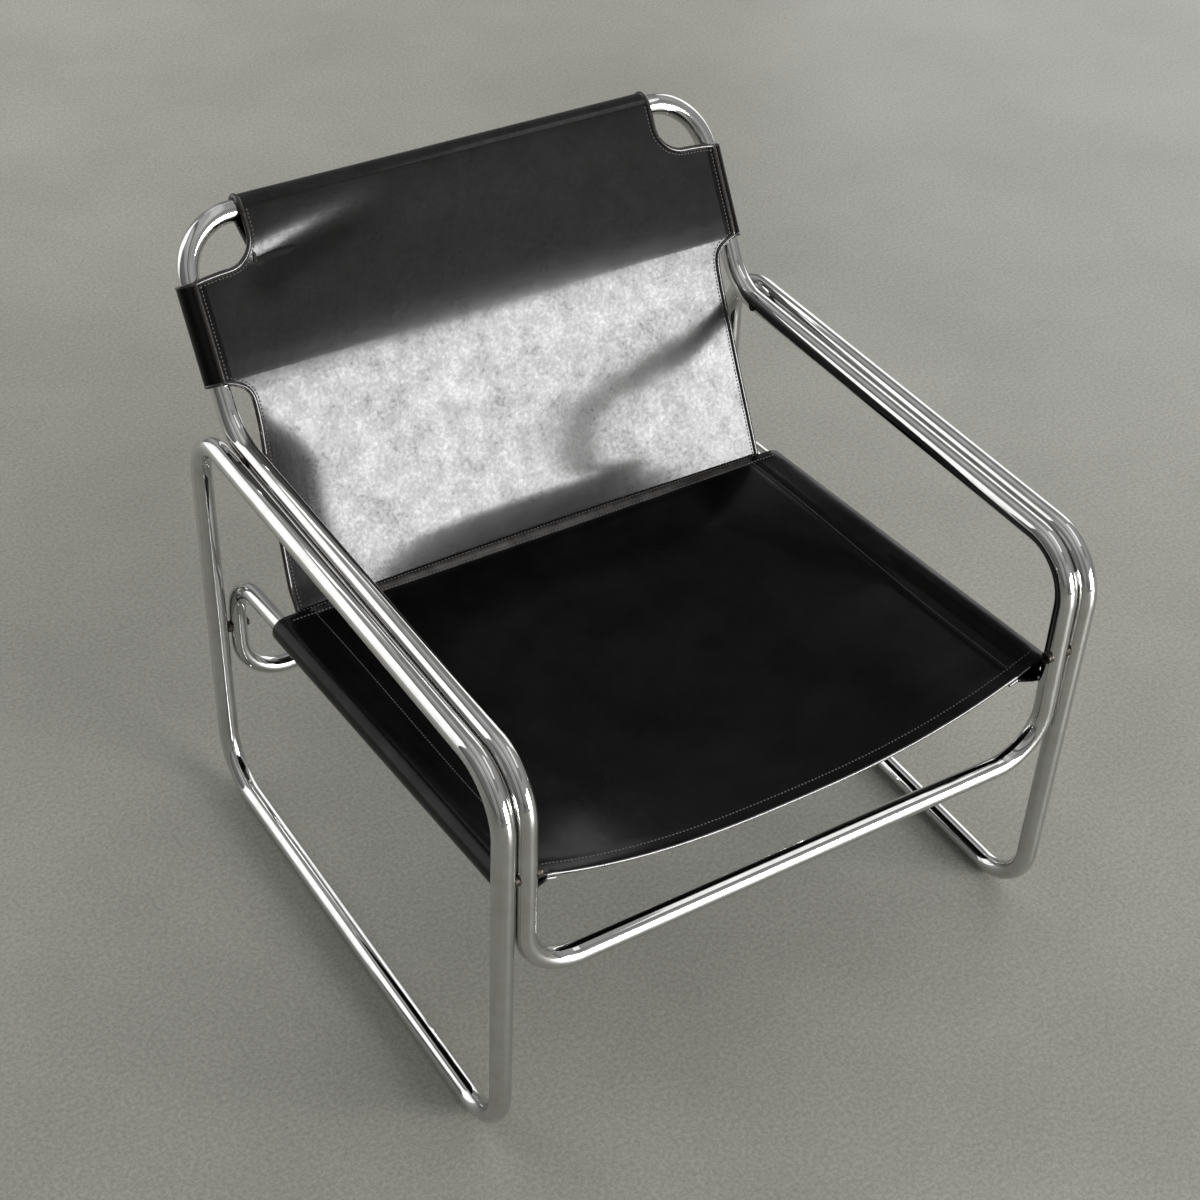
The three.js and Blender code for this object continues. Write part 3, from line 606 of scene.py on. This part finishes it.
def leather_sheet(name, rows, skin):
    """A sheet from rows of (place, pattern place) cells, with its skin's thickness."""
    start_fresh()
    number, places, patterns = {}, [], []
    for i, row in enumerate(rows):
        for j, cell in enumerate(row):
            if cell is not None:
                number[i, j] = len(places)
                places.append(cell[0])
                patterns.append(cell[1])
    faces = []
    for i in range(len(rows) - 1):
        for j in range(len(rows[0]) - 1):
            corners = ((i, j), (i + 1, j), (i + 1, j + 1), (i, j + 1))
            if all(c in number for c in corners):
                faces.append([number[c] for c in corners])
    mesh = bpy.data.meshes.new(name)
    mesh.from_pydata(places, [], faces)
    pattern = mesh.uv_layers.new(name="pattern")
    for loop in mesh.loops:
        pattern.data[loop.index].uv = patterns[loop.vertex_index]
    sheet = bpy.data.objects.new(name, mesh)
    bpy.context.collection.objects.link(sheet)
    sheet.select_set(True)
    bpy.context.view_layer.objects.active = sheet
    thick = sheet.modifiers.new("hide", "SOLIDIFY")
    thick.thickness, thick.offset = skin * MM, 0
    bpy.ops.object.modifier_apply(modifier=thick.name)
    bpy.ops.object.mode_set(mode="EDIT")
    bpy.ops.mesh.select_all(action="SELECT")
    bpy.ops.mesh.delete_loose()
    bpy.ops.mesh.select_all(action="SELECT")
    bpy.ops.mesh.normals_make_consistent(inside=False)
    bpy.ops.object.mode_set(mode="OBJECT")
    bpy.ops.object.shade_smooth_by_angle(angle=SHEET_SMOOTH)
    print(name, len(sheet.data.polygons), "faces")
    return sheet


def rolled_bead(name, places, radius):
    start_fresh()
    curve = bpy.data.curves.new(name, "CURVE")
    curve.dimensions = "3D"
    line = curve.splines.new("POLY")
    line.points.add(len(places) - 1)
    for point, place in zip(line.points, places):
        point.co = (*place, 1)
    curve.bevel_depth, curve.bevel_resolution = radius * MM, BEAD_STEPS
    curve.use_fill_caps = True
    bead = bpy.data.objects.new(name, curve)
    bpy.context.collection.objects.link(bead)
    bead.select_set(True)
    bpy.context.view_layer.objects.active = bead
    bpy.ops.object.convert(target="MESH")
    bead = bpy.context.object
    bpy.ops.object.mode_set(mode="EDIT")
    bpy.ops.mesh.select_all(action="SELECT")
    bpy.ops.mesh.remove_doubles(threshold=BEAD_MERGE_WITHIN * MM)
    bpy.ops.mesh.normals_make_consistent(inside=False)
    bpy.ops.object.mode_set(mode="OBJECT")
    bpy.ops.object.shade_smooth_by_angle(angle=BEAD_SMOOTH)
    return bead


def joined(name, pieces):
    start_fresh()
    for piece in pieces:
        piece.select_set(True)
    bpy.context.view_layer.objects.active = pieces[0]
    bpy.ops.object.join()
    bpy.context.object.name = name
    return bpy.context.object


print("skins:", SEAT_SKIN, "and", BACK_SKIN, "mm")

# %% [markdown]
# Stitches are real small pieces of thread, each a flattened bead 3.4 mm long,
# pulled a little into the leather. One is modelled from a coarse sphere, and its
# shape is repeated along every seam, so each has only a few dozen faces.

# %% Stitches
STITCH_PITCH = 4.6
# half the length, width and height of one stitch
STITCH_SIZE = (1.7, 0.9, 0.75)


def stitch_shape():
    start_fresh()
    bpy.ops.mesh.primitive_uv_sphere_add(segments=8, ring_count=5, radius=1)
    stitch = bpy.context.object
    bpy.ops.object.mode_set(mode="EDIT")
    bpy.ops.mesh.select_all(action="SELECT")
    bpy.ops.transform.resize(value=[size * MM for size in STITCH_SIZE])
    bpy.ops.object.mode_set(mode="OBJECT")
    places = np.array([v.co[:] for v in stitch.data.vertices])
    faces = [list(p.vertices) for p in stitch.data.polygons]
    bpy.data.objects.remove(stitch)
    return places, faces


STITCH_PLACES, STITCH_FACES = stitch_shape()


def stitching(name, seams):
    """seams: lists of (place, normal) in metres, a thread over each pitch."""
    places, faces = [], []
    for seam in seams:
        line = np.array([place[:] for place, normal in seam])
        outs = np.array([normal[:] for place, normal in seam])
        gaps = np.linalg.norm(np.diff(line, axis=0), axis=1)
        run = np.concatenate([[0], np.cumsum(gaps)])
        for at in np.arange(STITCH_PITCH * MM / 2, run[-1], STITCH_PITCH * MM):
            middle = np.array([np.interp(at, run, line[:, k]) for k in range(3)])
            out = np.array([np.interp(at, run, outs[:, k]) for k in range(3)])
            near = min(max(int(np.searchsorted(run, at)), 1), len(line) - 1)
            along = line[near] - line[near - 1]
            along = along / np.linalg.norm(along)
            across = np.cross(out, along)
            across = across / np.linalg.norm(across)
            out = np.cross(along, across)
            turned = STITCH_PLACES @ np.array([along, across, out])
            first = len(places)
            places += [tuple(p) for p in turned + middle]
            faces += [[first + k for k in face] for face in STITCH_FACES]
    mesh = bpy.data.meshes.new(name)
    mesh.from_pydata(places, [], faces)
    threads = bpy.data.objects.new(name, mesh)
    bpy.context.collection.objects.link(threads)
    for polygon in mesh.polygons:
        polygon.use_smooth = True
    print(name, len(faces) // len(STITCH_FACES), "stitches")
    return threads


print("faces of a stitch:", len(STITCH_FACES))

# %% [markdown]
# The seat sling hangs between the two rails. One hide runs over the rails,
# round them and back under, where it is sewn, and its front and rear edges are
# turned under and stitched. The grid has one row of places for each step from
# front to rear, and its first and last rows are the turned-under hems. The back,
# tucked down behind, pushes the middle of the rear hem up. Three shallow folds run
# across the seat, and its front edge and rear hem are paler, with rubbed wear and a
# painted sheen.

# %% Seat sling
RAIL_BACK = Vector((0, 0.99590, -0.09053))
RAIL_UP = Vector((0, 0.09053, 0.99590))
SEAT_START, SEAT_LENGTH = 15, 529
SEAT_FOLDS = (
    ((-230, 262), (70, 222), 20, 3),
    ((-120, 322), (150, 300), 22, 2.6),
    ((-250, 190), (20, 150), 22, -2.4),
)
SEAT_OUTER = 16.516
SEAT_MID = SEAT_OUTER - SEAT_SKIN / 2
SEAT_SAG, REAR_SAG, SAG_POWER, CREST_X = 55, 1.5, 2.5, 341
SAG_START, REAR_FLAT = 120, 44
SEAM_INSET, SEAT_FLAP = 35, 10
# how far back the front nose takes the paler leather of rubbed wear and painted sheen
RUBBED_AND_SHEEN_NOSE = 1.6
FRONT_HEM, REAR_HEM = 19, 15
HEM_RISE, HEM_STEP, HEM_ROLL, LIP_STEP = 6, 1.2, 2, 0.5
RIDGE_HEIGHT, RIDGE_AWAY, RIDGE_WIDTH = 0.5, 6, 4
GROOVE_DEPTH, GROOVE_AWAY, GROOVE_WIDTH = 0.9, -1, 2
SEAT_LAYER = SEAT_SKIN + FOLD_GAP
SEAT_COLUMNS, SEAT_ROW_STEP = 58, 6


def seat_place(x, along, up):
    middle = mm(0, RAIL_FRONT[1], RAIL_FRONT[2])
    return middle + (RAIL_BACK * (SEAT_START + along) + RAIL_UP * up + Vector((x, 0, 0))) * MM


def seat_drop(x, along):
    hollow = 1 - min(abs(x) / CREST_X, 1) ** SAG_POWER
    level = smooth_step(along, SAG_START, SEAT_LENGTH - REAR_FLAT)
    return (SEAT_SAG - (SEAT_SAG - REAR_SAG) * level) * hollow


def seat_relief(x, along):
    """How far the seams, the hems and the folds stand up from the smooth seat."""
    seam = INNER_X - SEAM_INSET
    ridge = RIDGE_HEIGHT * hump(abs(x), seam + RIDGE_AWAY, RIDGE_WIDTH)
    ridge -= GROOVE_DEPTH * hump(abs(x), seam + GROOVE_AWAY, GROOVE_WIDTH)
    band_start = SEAT_LENGTH - REAR_HEM
    band = HEM_STEP * smooth_step(along, band_start - 1, band_start + 2)
    pushed_up = HEM_RISE * max(1 - (x / CREST_X) ** 2, 0)
    band += pushed_up * max(along - band_start + 1, 0) / (REAR_HEM + 1)
    band -= HEM_ROLL * smooth_step(along, SEAT_LENGTH - 3, SEAT_LENGTH)
    lip = LIP_STEP * (1 - smooth_step(along, FRONT_HEM - 1, FRONT_HEM + 3))
    return ridge + band + lip + creased(x, along, SEAT_FOLDS)


def seat_section(along):
    """(x, up) from the middle of the seat to the flap under its right edge."""
    hem = max(hump(along, 0, FRONT_HEM * 1.4), hump(along, SEAT_LENGTH, REAR_HEM * 1.6))
    across = steps_between(0, INNER_X, SEAT_COLUMNS)
    places = [(x, SEAT_MID + seat_relief(x, along)) for x in across]
    wrap = wrap_section(SEAT_MID, SEAM_INSET, SEAT_LAYER * (1 + 2 * hem), SEAT_FLAP)
    places += [(INNER_X + x, up) for x, up in wrap]
    return [(x, up - seat_drop(x, along)) for x, up in places]


def seat_row(along):
    right = seat_section(along)
    return np.array([(-x, up) for x, up in right[:0:-1]] + right)


def seat_rows():
    """(along, under): each row's place from the front, and how far it is under."""
    nose = SEAT_LAYER / 2
    centre = nose + SEAT_SKIN / 2
    turns = steps_between(0, math.pi, 6)
    fold = [(centre - nose * math.sin(t), -nose - nose * math.cos(t)) for t in turns]
    front = [(FRONT_HEM * share, -SEAT_LAYER) for share in (1, 0.7, 0.4)] + fold
    rear_fold = [(SEAT_LENGTH - a, n) for a, n in fold[::-1]]
    rear = rear_fold
    rear += [(SEAT_LENGTH - REAR_HEM * share, -SEAT_LAYER) for share in (0.4, 0.7, 1)]
    count = round(SEAT_LENGTH / SEAT_ROW_STEP)
    top = [(a, 0) for a in steps_between(centre, SEAT_LENGTH - centre, count)[1:-1]]
    return front + top + rear


def seat_grid():
    """The seat's cells, and the width and length of its cut, in millimetres."""
    rows, pattern_along, before = [], 0.0, None
    for along, under in seat_rows():
        section = seat_row(along)
        if before is not None:
            pattern_along += math.hypot(along - before[0], under - before[1])
        before = (along, under)
        slope = np.gradient(section, axis=0)
        length = np.maximum(np.linalg.norm(slope, axis=1), 1e-6)
        normal = np.stack([-slope[:, 1], slope[:, 0]], axis=1) / length[:, None]
        run = np.concatenate([[0], np.cumsum(np.linalg.norm(np.diff(section, axis=0), axis=1))])
        cells = []
        for (x, up), (nx, nz), across in zip(section, normal, run):
            place = seat_place(x + nx * under, along, up + nz * under)
            cells.append((place, (across * MM, pattern_along * MM)))
        rows.append(cells)
    return rows, run[-1], pattern_along


seat_cells, seat_cut_width, seat_cut_length = seat_grid()
seat_sling = leather_sheet("seat_sling_leather", seat_cells, SEAT_SKIN)
place_piece(seat_sling, seat_leather, "black_leather", "seat_sling")
# the front nose and the rear hem band take the paler leather: rubbed wear and painted sheen
seat_sling.data.materials.append(rubbed_and_sheen_leather)
for polygon in seat_sling.data.polygons:
    along = (polygon.center - seat_place(0, 0, 0)).dot(RAIL_BACK) / MM
    between_seams = abs(polygon.center.x) < (INNER_X - SEAM_INSET) * MM
    if between_seams and not RUBBED_AND_SHEEN_NOSE < along < SEAT_LENGTH - REAR_HEM:
        polygon.material_index = 1
print("seat cut:", round(seat_cut_width), "x", round(seat_cut_length), "mm")


def seat_point(x, along):
    """A place on the seat's upper face, with its outward direction."""
    def at(px, pa):
        up = SEAT_OUTER + seat_relief(px, pa) - seat_drop(px, pa)
        return seat_place(px, pa, up)
    here = at(x, along)
    out = (at(x + 1, along) - here).cross(at(x, along + 1) - here).normalized()
    return here, out


# how far along each cross seam runs, and how far it reaches to each side
CROSS_SEAMS = (
    (FRONT_HEM - 2.5, 340), (SEAT_LENGTH - REAR_HEM + 1.5, 342), (SEAT_LENGTH - 2, 342),
)
seat_seams = []
for along_at, reach in CROSS_SEAMS:
    across = steps_between(-reach, reach, 120)
    seat_seams.append([seat_point(x, along_at) for x in across])
for _, side in SIDES:
    seam_x = side * (INNER_X - SEAM_INSET + GROOVE_AWAY)
    alongs = steps_between(FRONT_HEM, SEAT_LENGTH - REAR_HEM, 90)
    seat_seams.append([seat_point(seam_x, a) for a in alongs])
seat_threads = stitching("seat_sling_stitching", seat_seams)
place_piece(seat_threads, thread, "black_leather")

# %% [markdown]
# The back sling is one panel with three sleeves: one round the top tube and one
# round each side tube. Two round notches leave the top corners of the tube bare,
# and below the side sleeves the panel is cut in again. It hangs hollow between
# its sleeves, and its lower end passes behind the seat's rear hem and turns
# forward under it. The same grid way is used, with extra columns where a side
# sleeve wraps round. The lean at each distance down the middle is what decides
# which part of the panel mirrors the window. Two creases and a curled left margin
# show its wear.

# %% Back sling
BACK_UP = Vector((0, 0.54464, 0.83867))
BACK_FRONT = Vector((0, -0.83867, 0.54464))
BACK_OUTER = 16.9
BACK_MID = BACK_OUTER - BACK_SKIN / 2
BACK_LAYER = BACK_SKIN + FOLD_GAP
TOP_HALF, NOTCH_RADIUS, NOTCH_RISE = 270, 36, 4
TOP_SEAM, TOP_FLAP, SIDE_SEAM, SIDE_FLAP = 50, 10, 24, 8
SLEEVE_START, SLEEVE_END = 66, 178
LOWER_DROP, LOWER_HALF, LOWER_END_HALF = 62, 316, 327
NOTCH_SHOULDER = ((316, 62.5), (326, 63.4), (337, 64.6))
LOWER_SHARES = (0.015, 0.035, 0.06, 0.1, 0.15, 0.21, 0.28, 0.36, 0.46, 0.58, 0.72, 0.86, 1)
# (distance down the panel, its lean in degrees)
LEANS = (
    (0, 33), (20, 32), (45, 31.5), (80, 33), (135, 33), (148, 31.5),
    (208, 25.5), (235, 24.5), (396, 25.5), (416, 33), (459, 37),
)
KINK_EASE = 22
HOLLOW_POWER = 2.4
CREASES = (((-266, 62), (-85, 22), 20, -3.5), ((330, 258), (225, 345), 34, 1.4))
CURL, CURL_WIDTH, CURL_EDGE, CURL_POWER = 8, 80, 318, 1.6
CURL_WIDENS, CURL_STARTS, CURL_ENDS = (176, 300), (184, 206), (425, 459)
HEM_BACK, HEM_UNDER, HEM_GAP, HEM_PLAY, HEM_SINK = 544, 9.7, 1.9, 0.8, 3
FLAP_HALF, FLAP_LENGTH = 298, 30
EDGE_STEPS = (0, 1.5, 3, 4.5, 6, 8, 11)
LAST_STEP = 1.2
BACK_COLUMNS = 96
SLEEVE_FACE = 11


def back_place(down, front):
    return Vector((0, BACK_TOP[1], BACK_TOP[2])) - BACK_UP * down + BACK_FRONT * front


def rail_place(along, up):
    return Vector((0, RAIL_FRONT[1], RAIL_FRONT[2])) + RAIL_BACK * along + RAIL_UP * up


BACK_KINK = back_place(SLEEVE_END, BACK_MID)
BACK_HEM = rail_place(HEM_BACK + HEM_GAP + HEM_PLAY, SEAT_OUTER - HEM_SINK)
HANG_END = SLEEVE_END + (BACK_HEM - BACK_KINK).length
SIDE_WRAP = wrap_section(BACK_MID, SIDE_SEAM, BACK_LAYER, SIDE_FLAP)


def back_line(down):
    if down <= SLEEVE_END:
        return back_place(down, BACK_MID)
    return BACK_KINK + (BACK_HEM - BACK_KINK).normalized() * (down - SLEEVE_END)


def hang_line():
    """How far the middle hangs behind the chord from the top tube to the hem."""
    chord = BACK_HEM - back_line(0)
    chord_lean = math.atan2(-chord.y, -chord.z)
    downs = np.arange(0, math.ceil(HANG_END) + 1)
    leans = np.radians(np.interp(downs, *np.array(LEANS, float).T))
    behind = np.concatenate([[0], np.cumsum(np.sin(chord_lean - leans))[:-1]])
    print("mean lean is off by", round(math.degrees(behind[-1] / HANG_END), 2), "degrees")
    behind = behind - behind[-1] * downs / downs[-1]
    return chord, downs, behind


BACK_CHORD, HANG_DOWNS, HANG_BEHIND = hang_line()
CHORD_FRONT = Vector((0, BACK_CHORD.z, -BACK_CHORD.y)).normalized()


def back_across(x):
    """1 in the middle of the panel, 0 at the side seams."""
    return 1 - min(abs(x) / (INNER_X - SIDE_SEAM), 1) ** HOLLOW_POWER


def back_hang(down):
    """The place of the back's middle line, and its edge line beside it."""
    edge = (back_line(down - KINK_EASE) + back_line(down) * 2 + back_line(down + KINK_EASE)) / 4
    if down <= 0:
        return back_line(down), back_line(down)
    chord = back_line(0) + BACK_CHORD * min(down / HANG_END, 1)
    return edge, chord - CHORD_FRONT * float(np.interp(down, HANG_DOWNS, HANG_BEHIND))


def back_worn(x, down):
    """How far the creases and the curled left margin push the panel forward."""
    forward = creased(x, down, CREASES)
    curl_start = CURL_EDGE - CURL_WIDTH * smooth_step(down, *CURL_WIDENS)
    if -x > curl_start:
        curl = CURL * (1 - smooth_step(down, *CURL_ENDS)) * smooth_step(down, *CURL_STARTS)
        forward -= curl * ((-x - curl_start) / CURL_WIDTH) ** CURL_POWER
    return forward


def back_middle(x, down):
    edge, middle = back_hang(down)
    place = edge.lerp(middle, back_across(x)) + BACK_FRONT * back_worn(x, down)
    return Vector((x, place.y, place.z))


def back_point(x, down, lift=BACK_SKIN / 2):
    here = back_middle(x, down)
    right = back_middle(x + 1, down) - here
    lower = back_middle(x, down + 1) - here
    out = lower.cross(right).normalized()
    return (here + out * lift) * MM, out


def lower_reach(share):
    """How far the edge has come in, at a share of the way down below a sleeve."""
    return 1 - (1 - share**0.92) ** 6.5


def edge_outline():
    """(half width, down) of the panel, from the top tube to the rear hem."""
    notch_end = SLEEVE_START - NOTCH_RISE
    outline = [(TOP_HALF, down) for down in steps_between(0, notch_end - NOTCH_RADIUS, 4)]
    for turn in steps_between(0, math.pi / 2, 12)[1:]:
        half = TOP_HALF + NOTCH_RADIUS * (1 - math.cos(turn))
        outline.append((half, notch_end - NOTCH_RADIUS * (1 - math.sin(turn))))
    outline += [*NOTCH_SHOULDER, (INNER_X, SLEEVE_START)]
    outline += [(INNER_X, down) for down in steps_between(SLEEVE_START, SLEEVE_END, 20)[1:]]
    for share in LOWER_SHARES:
        half = INNER_X - (INNER_X - LOWER_HALF) * lower_reach(share)
        outline.append((half, SLEEVE_END + share * LOWER_DROP))
    low = SLEEVE_END + LOWER_DROP
    for share in steps_between(0, 1, 30)[1:]:
        half = LOWER_HALF + (LOWER_END_HALF - LOWER_HALF) * share
        outline.append((half, low + (HANG_END - low) * share))
    outline.insert(-1, (LOWER_END_HALF, HANG_END - LAST_STEP))
    return outline


def panel_columns(half):
    inner = half - EDGE_STEPS[-1]
    left = [-half + step for step in EDGE_STEPS[:-1]]
    return left + steps_between(-inner, inner, BACK_COLUMNS) + [-x for x in left[::-1]]


def sheet_cell(x, place, across, down):
    return Vector((x, place.y, place.z)) * MM, (across * MM, down * MM)


def back_grid():
    """The back's cells, where its crest lies on the cut, and the cut's width."""
    none = [None] * len(SIDE_WRAP)
    rows = []
    top = wrap_section(BACK_MID, TOP_SEAM, BACK_LAYER, TOP_FLAP)
    pattern = 0.0
    previous = top[-1]
    seam_edge, seam_middle = back_hang(TOP_SEAM)
    for up, front in top[::-1]:
        pattern += math.hypot(up - previous[0], front - previous[1])
        previous = (up, front)
        cells = []
        for x in panel_columns(TOP_HALF):
            share = min(max(-up / TOP_SEAM, 0), 1) * back_across(x)
            place = back_place(-up, front) + (seam_middle - seam_edge) * share
            cells.append(sheet_cell(x, place, x, pattern))
        rows.append(none + cells + none)
    crest = pattern + WRAP_STEP * BACK_MID
    for half, down in edge_outline():
        columns = panel_columns(half)
        cells = [sheet_cell(x, back_middle(x, down), x, crest + down) for x in columns]
        right, left = none, none
        if SLEEVE_START <= down <= SLEEVE_END:
            right, run, last = [], INNER_X, (0, BACK_MID)
            for x, front in SIDE_WRAP:
                run += math.hypot(x - last[0], front - last[1])
                last = (x, front)
                place = back_place(down, front)
                right.append(sheet_cell(INNER_X + x, place, run, crest + down))
            left = [(Vector((-p.x, p.y, p.z)), (-u, v)) for p, (u, v) in right[::-1]]
        rows.append(left + cells + right)
    return rows, crest, 2 * run


def under_rows(crest):
    """Rows that carry the panel down behind the seat's rear hem and under it."""
    run = []
    for turn in steps_between(0, math.pi / 2, 4):
        run.append((HEM_BACK + HEM_GAP * math.cos(turn), HEM_UNDER - HEM_GAP * math.sin(turn)))
    for share in (0.33, 0.66, 1):
        run.append((HEM_BACK - FLAP_LENGTH * share, HEM_UNDER - HEM_GAP))
    none = [None] * len(SIDE_WRAP)
    rows, pattern, before = [], crest + HANG_END, (HEM_BACK + HEM_GAP, SEAT_OUTER - HEM_SINK)
    for along, up in run:
        pattern += math.hypot(along - before[0], up - before[1])
        before = (along, up)
        place = rail_place(along, up)
        cells = [sheet_cell(x, place, x, pattern) for x in panel_columns(FLAP_HALF)]
        rows.append(none + cells + none)
    return rows, pattern


back_cells, back_crest, back_cut_width = back_grid()
flap_cells, back_cut_length = under_rows(back_crest)
back_sling = leather_sheet("back_sling_leather", back_cells + flap_cells, BACK_SKIN)
place_piece(back_sling, leather, "black_leather", "back_sling")
back_sling.data.materials.append(seat_leather)
for polygon in back_sling.data.polygons:
    if abs(polygon.center.x) > (INNER_X - SLEEVE_FACE) * MM:
        polygon.material_index = 1
print("back cut:", round(back_cut_width), "x", round(back_cut_length), "mm")

# %% [markdown]
# Every free edge of the back is rolled into a bead about 6 mm thick, which also
# runs along the front of each side sleeve, and the sleeves' ends have a thinner
# roll. A row of stitches follows the bead 5 mm inside it.

# %% Rolled edges and stitches of the back
BEAD_RADIUS = 3.2
RIM_RADIUS = 2.2
STITCH_INSET = 5.2
BEAD_LIFT = 0.9


def inset_line(outline, inset):
    """The outline, moved in by the inset."""
    line = np.array(outline, float)
    along = np.gradient(line, axis=0)
    along /= np.linalg.norm(along, axis=1)[:, None]
    return line + inset * np.stack([-along[:, 1], along[:, 0]], axis=1)


first_panel_column = len(SIDE_WRAP)
last_panel_column = len(back_cells[0]) - 1 - first_panel_column
outline = edge_outline()
top_rows = len(back_cells) - len(outline)
beads, back_seams = [], []
for side_name, side in SIDES:
    column = last_panel_column if side > 0 else first_panel_column
    path = [row[column][0] for row in back_cells[:top_rows]]
    path += [back_point(side * half, down, BEAD_LIFT)[0] for half, down in outline]
    beads.append(rolled_bead(f"bead_{side_name}", path, BEAD_RADIUS))
    for down in (SLEEVE_START, SLEEVE_END):
        row = top_rows + [i for i, (half, at) in enumerate(outline) if at == down][0]
        cells = back_cells[row]
        ring = cells[column:] if side > 0 else cells[column::-1]
        beads.append(rolled_bead("rim", [place for place, pattern in ring], RIM_RADIUS))
    inside = inset_line(outline, STITCH_INSET)
    back_seams.append([back_point(side * half, down) for half, down in inside])
back_beads = joined("back_sling_rolled_edges", beads)
place_piece(back_beads, leather_edge, "black_leather")
back_threads = stitching("back_sling_stitching", back_seams)
place_piece(back_threads, thread, "black_leather")

# %% [markdown]
# At six places a cap, a spacer and a stud tie an outer tube to the inner one.
# The cap is turned metal with a rounded rim and a small eye. A cylinder is added
# at its size, its rim is bevelled, and its face is inset and pushed in. The
# spacers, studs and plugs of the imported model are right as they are, and get a
# finish.

# %% Fixings
CAP_SIDES, CAP_SUNK, CAP_EDGE, EYE_SHARE, EYE_DEPTH = 40, 3, 1.3, 0.36, 1.8
CAP_SMOOTH = math.radians(40)
# name, y, z, the tube's radius, the cap's radius, how far it stands off the tube
FIXINGS = (
    ("front_leg", -386.4, 410, MAIN_RADIUS, 7, 4),
    ("arm", 211, 531.65, MAIN_RADIUS, 5.5, 2.5),
    ("rear_leg", 290.8, 234, SEAT_RADIUS, 5.5, 2),
)


def turned_cap(name, y, z, tube_radius, radius, stand):
    start_fresh()
    depth = stand + CAP_SUNK
    middle = INNER_X - tube_radius - stand + depth / 2
    turn = (0, math.radians(-90), 0)
    bpy.ops.mesh.primitive_cylinder_add(
        vertices=CAP_SIDES, radius=radius * MM, depth=depth * MM,
        location=mm(middle, y, z), rotation=turn,
    )
    piece = bpy.context.object
    piece.name = name
    bpy.ops.object.transform_apply(location=True, rotation=True, scale=True)
    bpy.ops.object.mode_set(mode="EDIT")
    bpy.ops.mesh.select_mode(type="FACE")
    bpy.ops.mesh.select_all(action="DESELECT")
    bpy.ops.object.mode_set(mode="OBJECT")
    face = min(piece.data.polygons, key=lambda p: p.center.x)
    face.select = True
    bpy.ops.object.mode_set(mode="EDIT")
    bpy.ops.mesh.bevel(offset=CAP_EDGE * MM, segments=5, affect="EDGES")
    bpy.ops.mesh.select_all(action="DESELECT")
    bpy.ops.object.mode_set(mode="OBJECT")
    face = min(piece.data.polygons, key=lambda p: (round(p.center.x, 6), -p.area))
    face.select = True
    bpy.ops.object.mode_set(mode="EDIT")
    bpy.ops.mesh.inset(thickness=(radius * (1 - EYE_SHARE) - CAP_EDGE) * MM)
    bpy.ops.mesh.extrude_region_move(TRANSFORM_OT_translate={"value": (EYE_DEPTH * MM, 0, 0)})
    bpy.ops.mesh.select_all(action="SELECT")
    bpy.ops.mesh.normals_make_consistent(inside=False)
    bpy.ops.object.mode_set(mode="OBJECT")
    bpy.ops.object.shade_smooth_by_angle(angle=CAP_SMOOTH)
    return piece


for fixing, *cap_sizes in FIXINGS:
    cap_right = turned_cap(f"{fixing}_turned_cap_right", *cap_sizes)
    cap_left = mirrored_copy(cap_right, f"{fixing}_turned_cap_left")
    for piece, side_name in ((cap_right, "right"), (cap_left, "left")):
        place_piece(piece, nickel, "nickel_fixing", f"{fixing}_cap_{side_name}")

for node_name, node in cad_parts.items():
    if "spacer" in node_name:
        finish = nickel
    elif "stud" in node_name or "joint" in node_name:
        finish = steel
    else:
        continue
    node.data.materials.clear()
    node.data.materials.append(finish)
print("fixings:", 2 * len(FIXINGS))
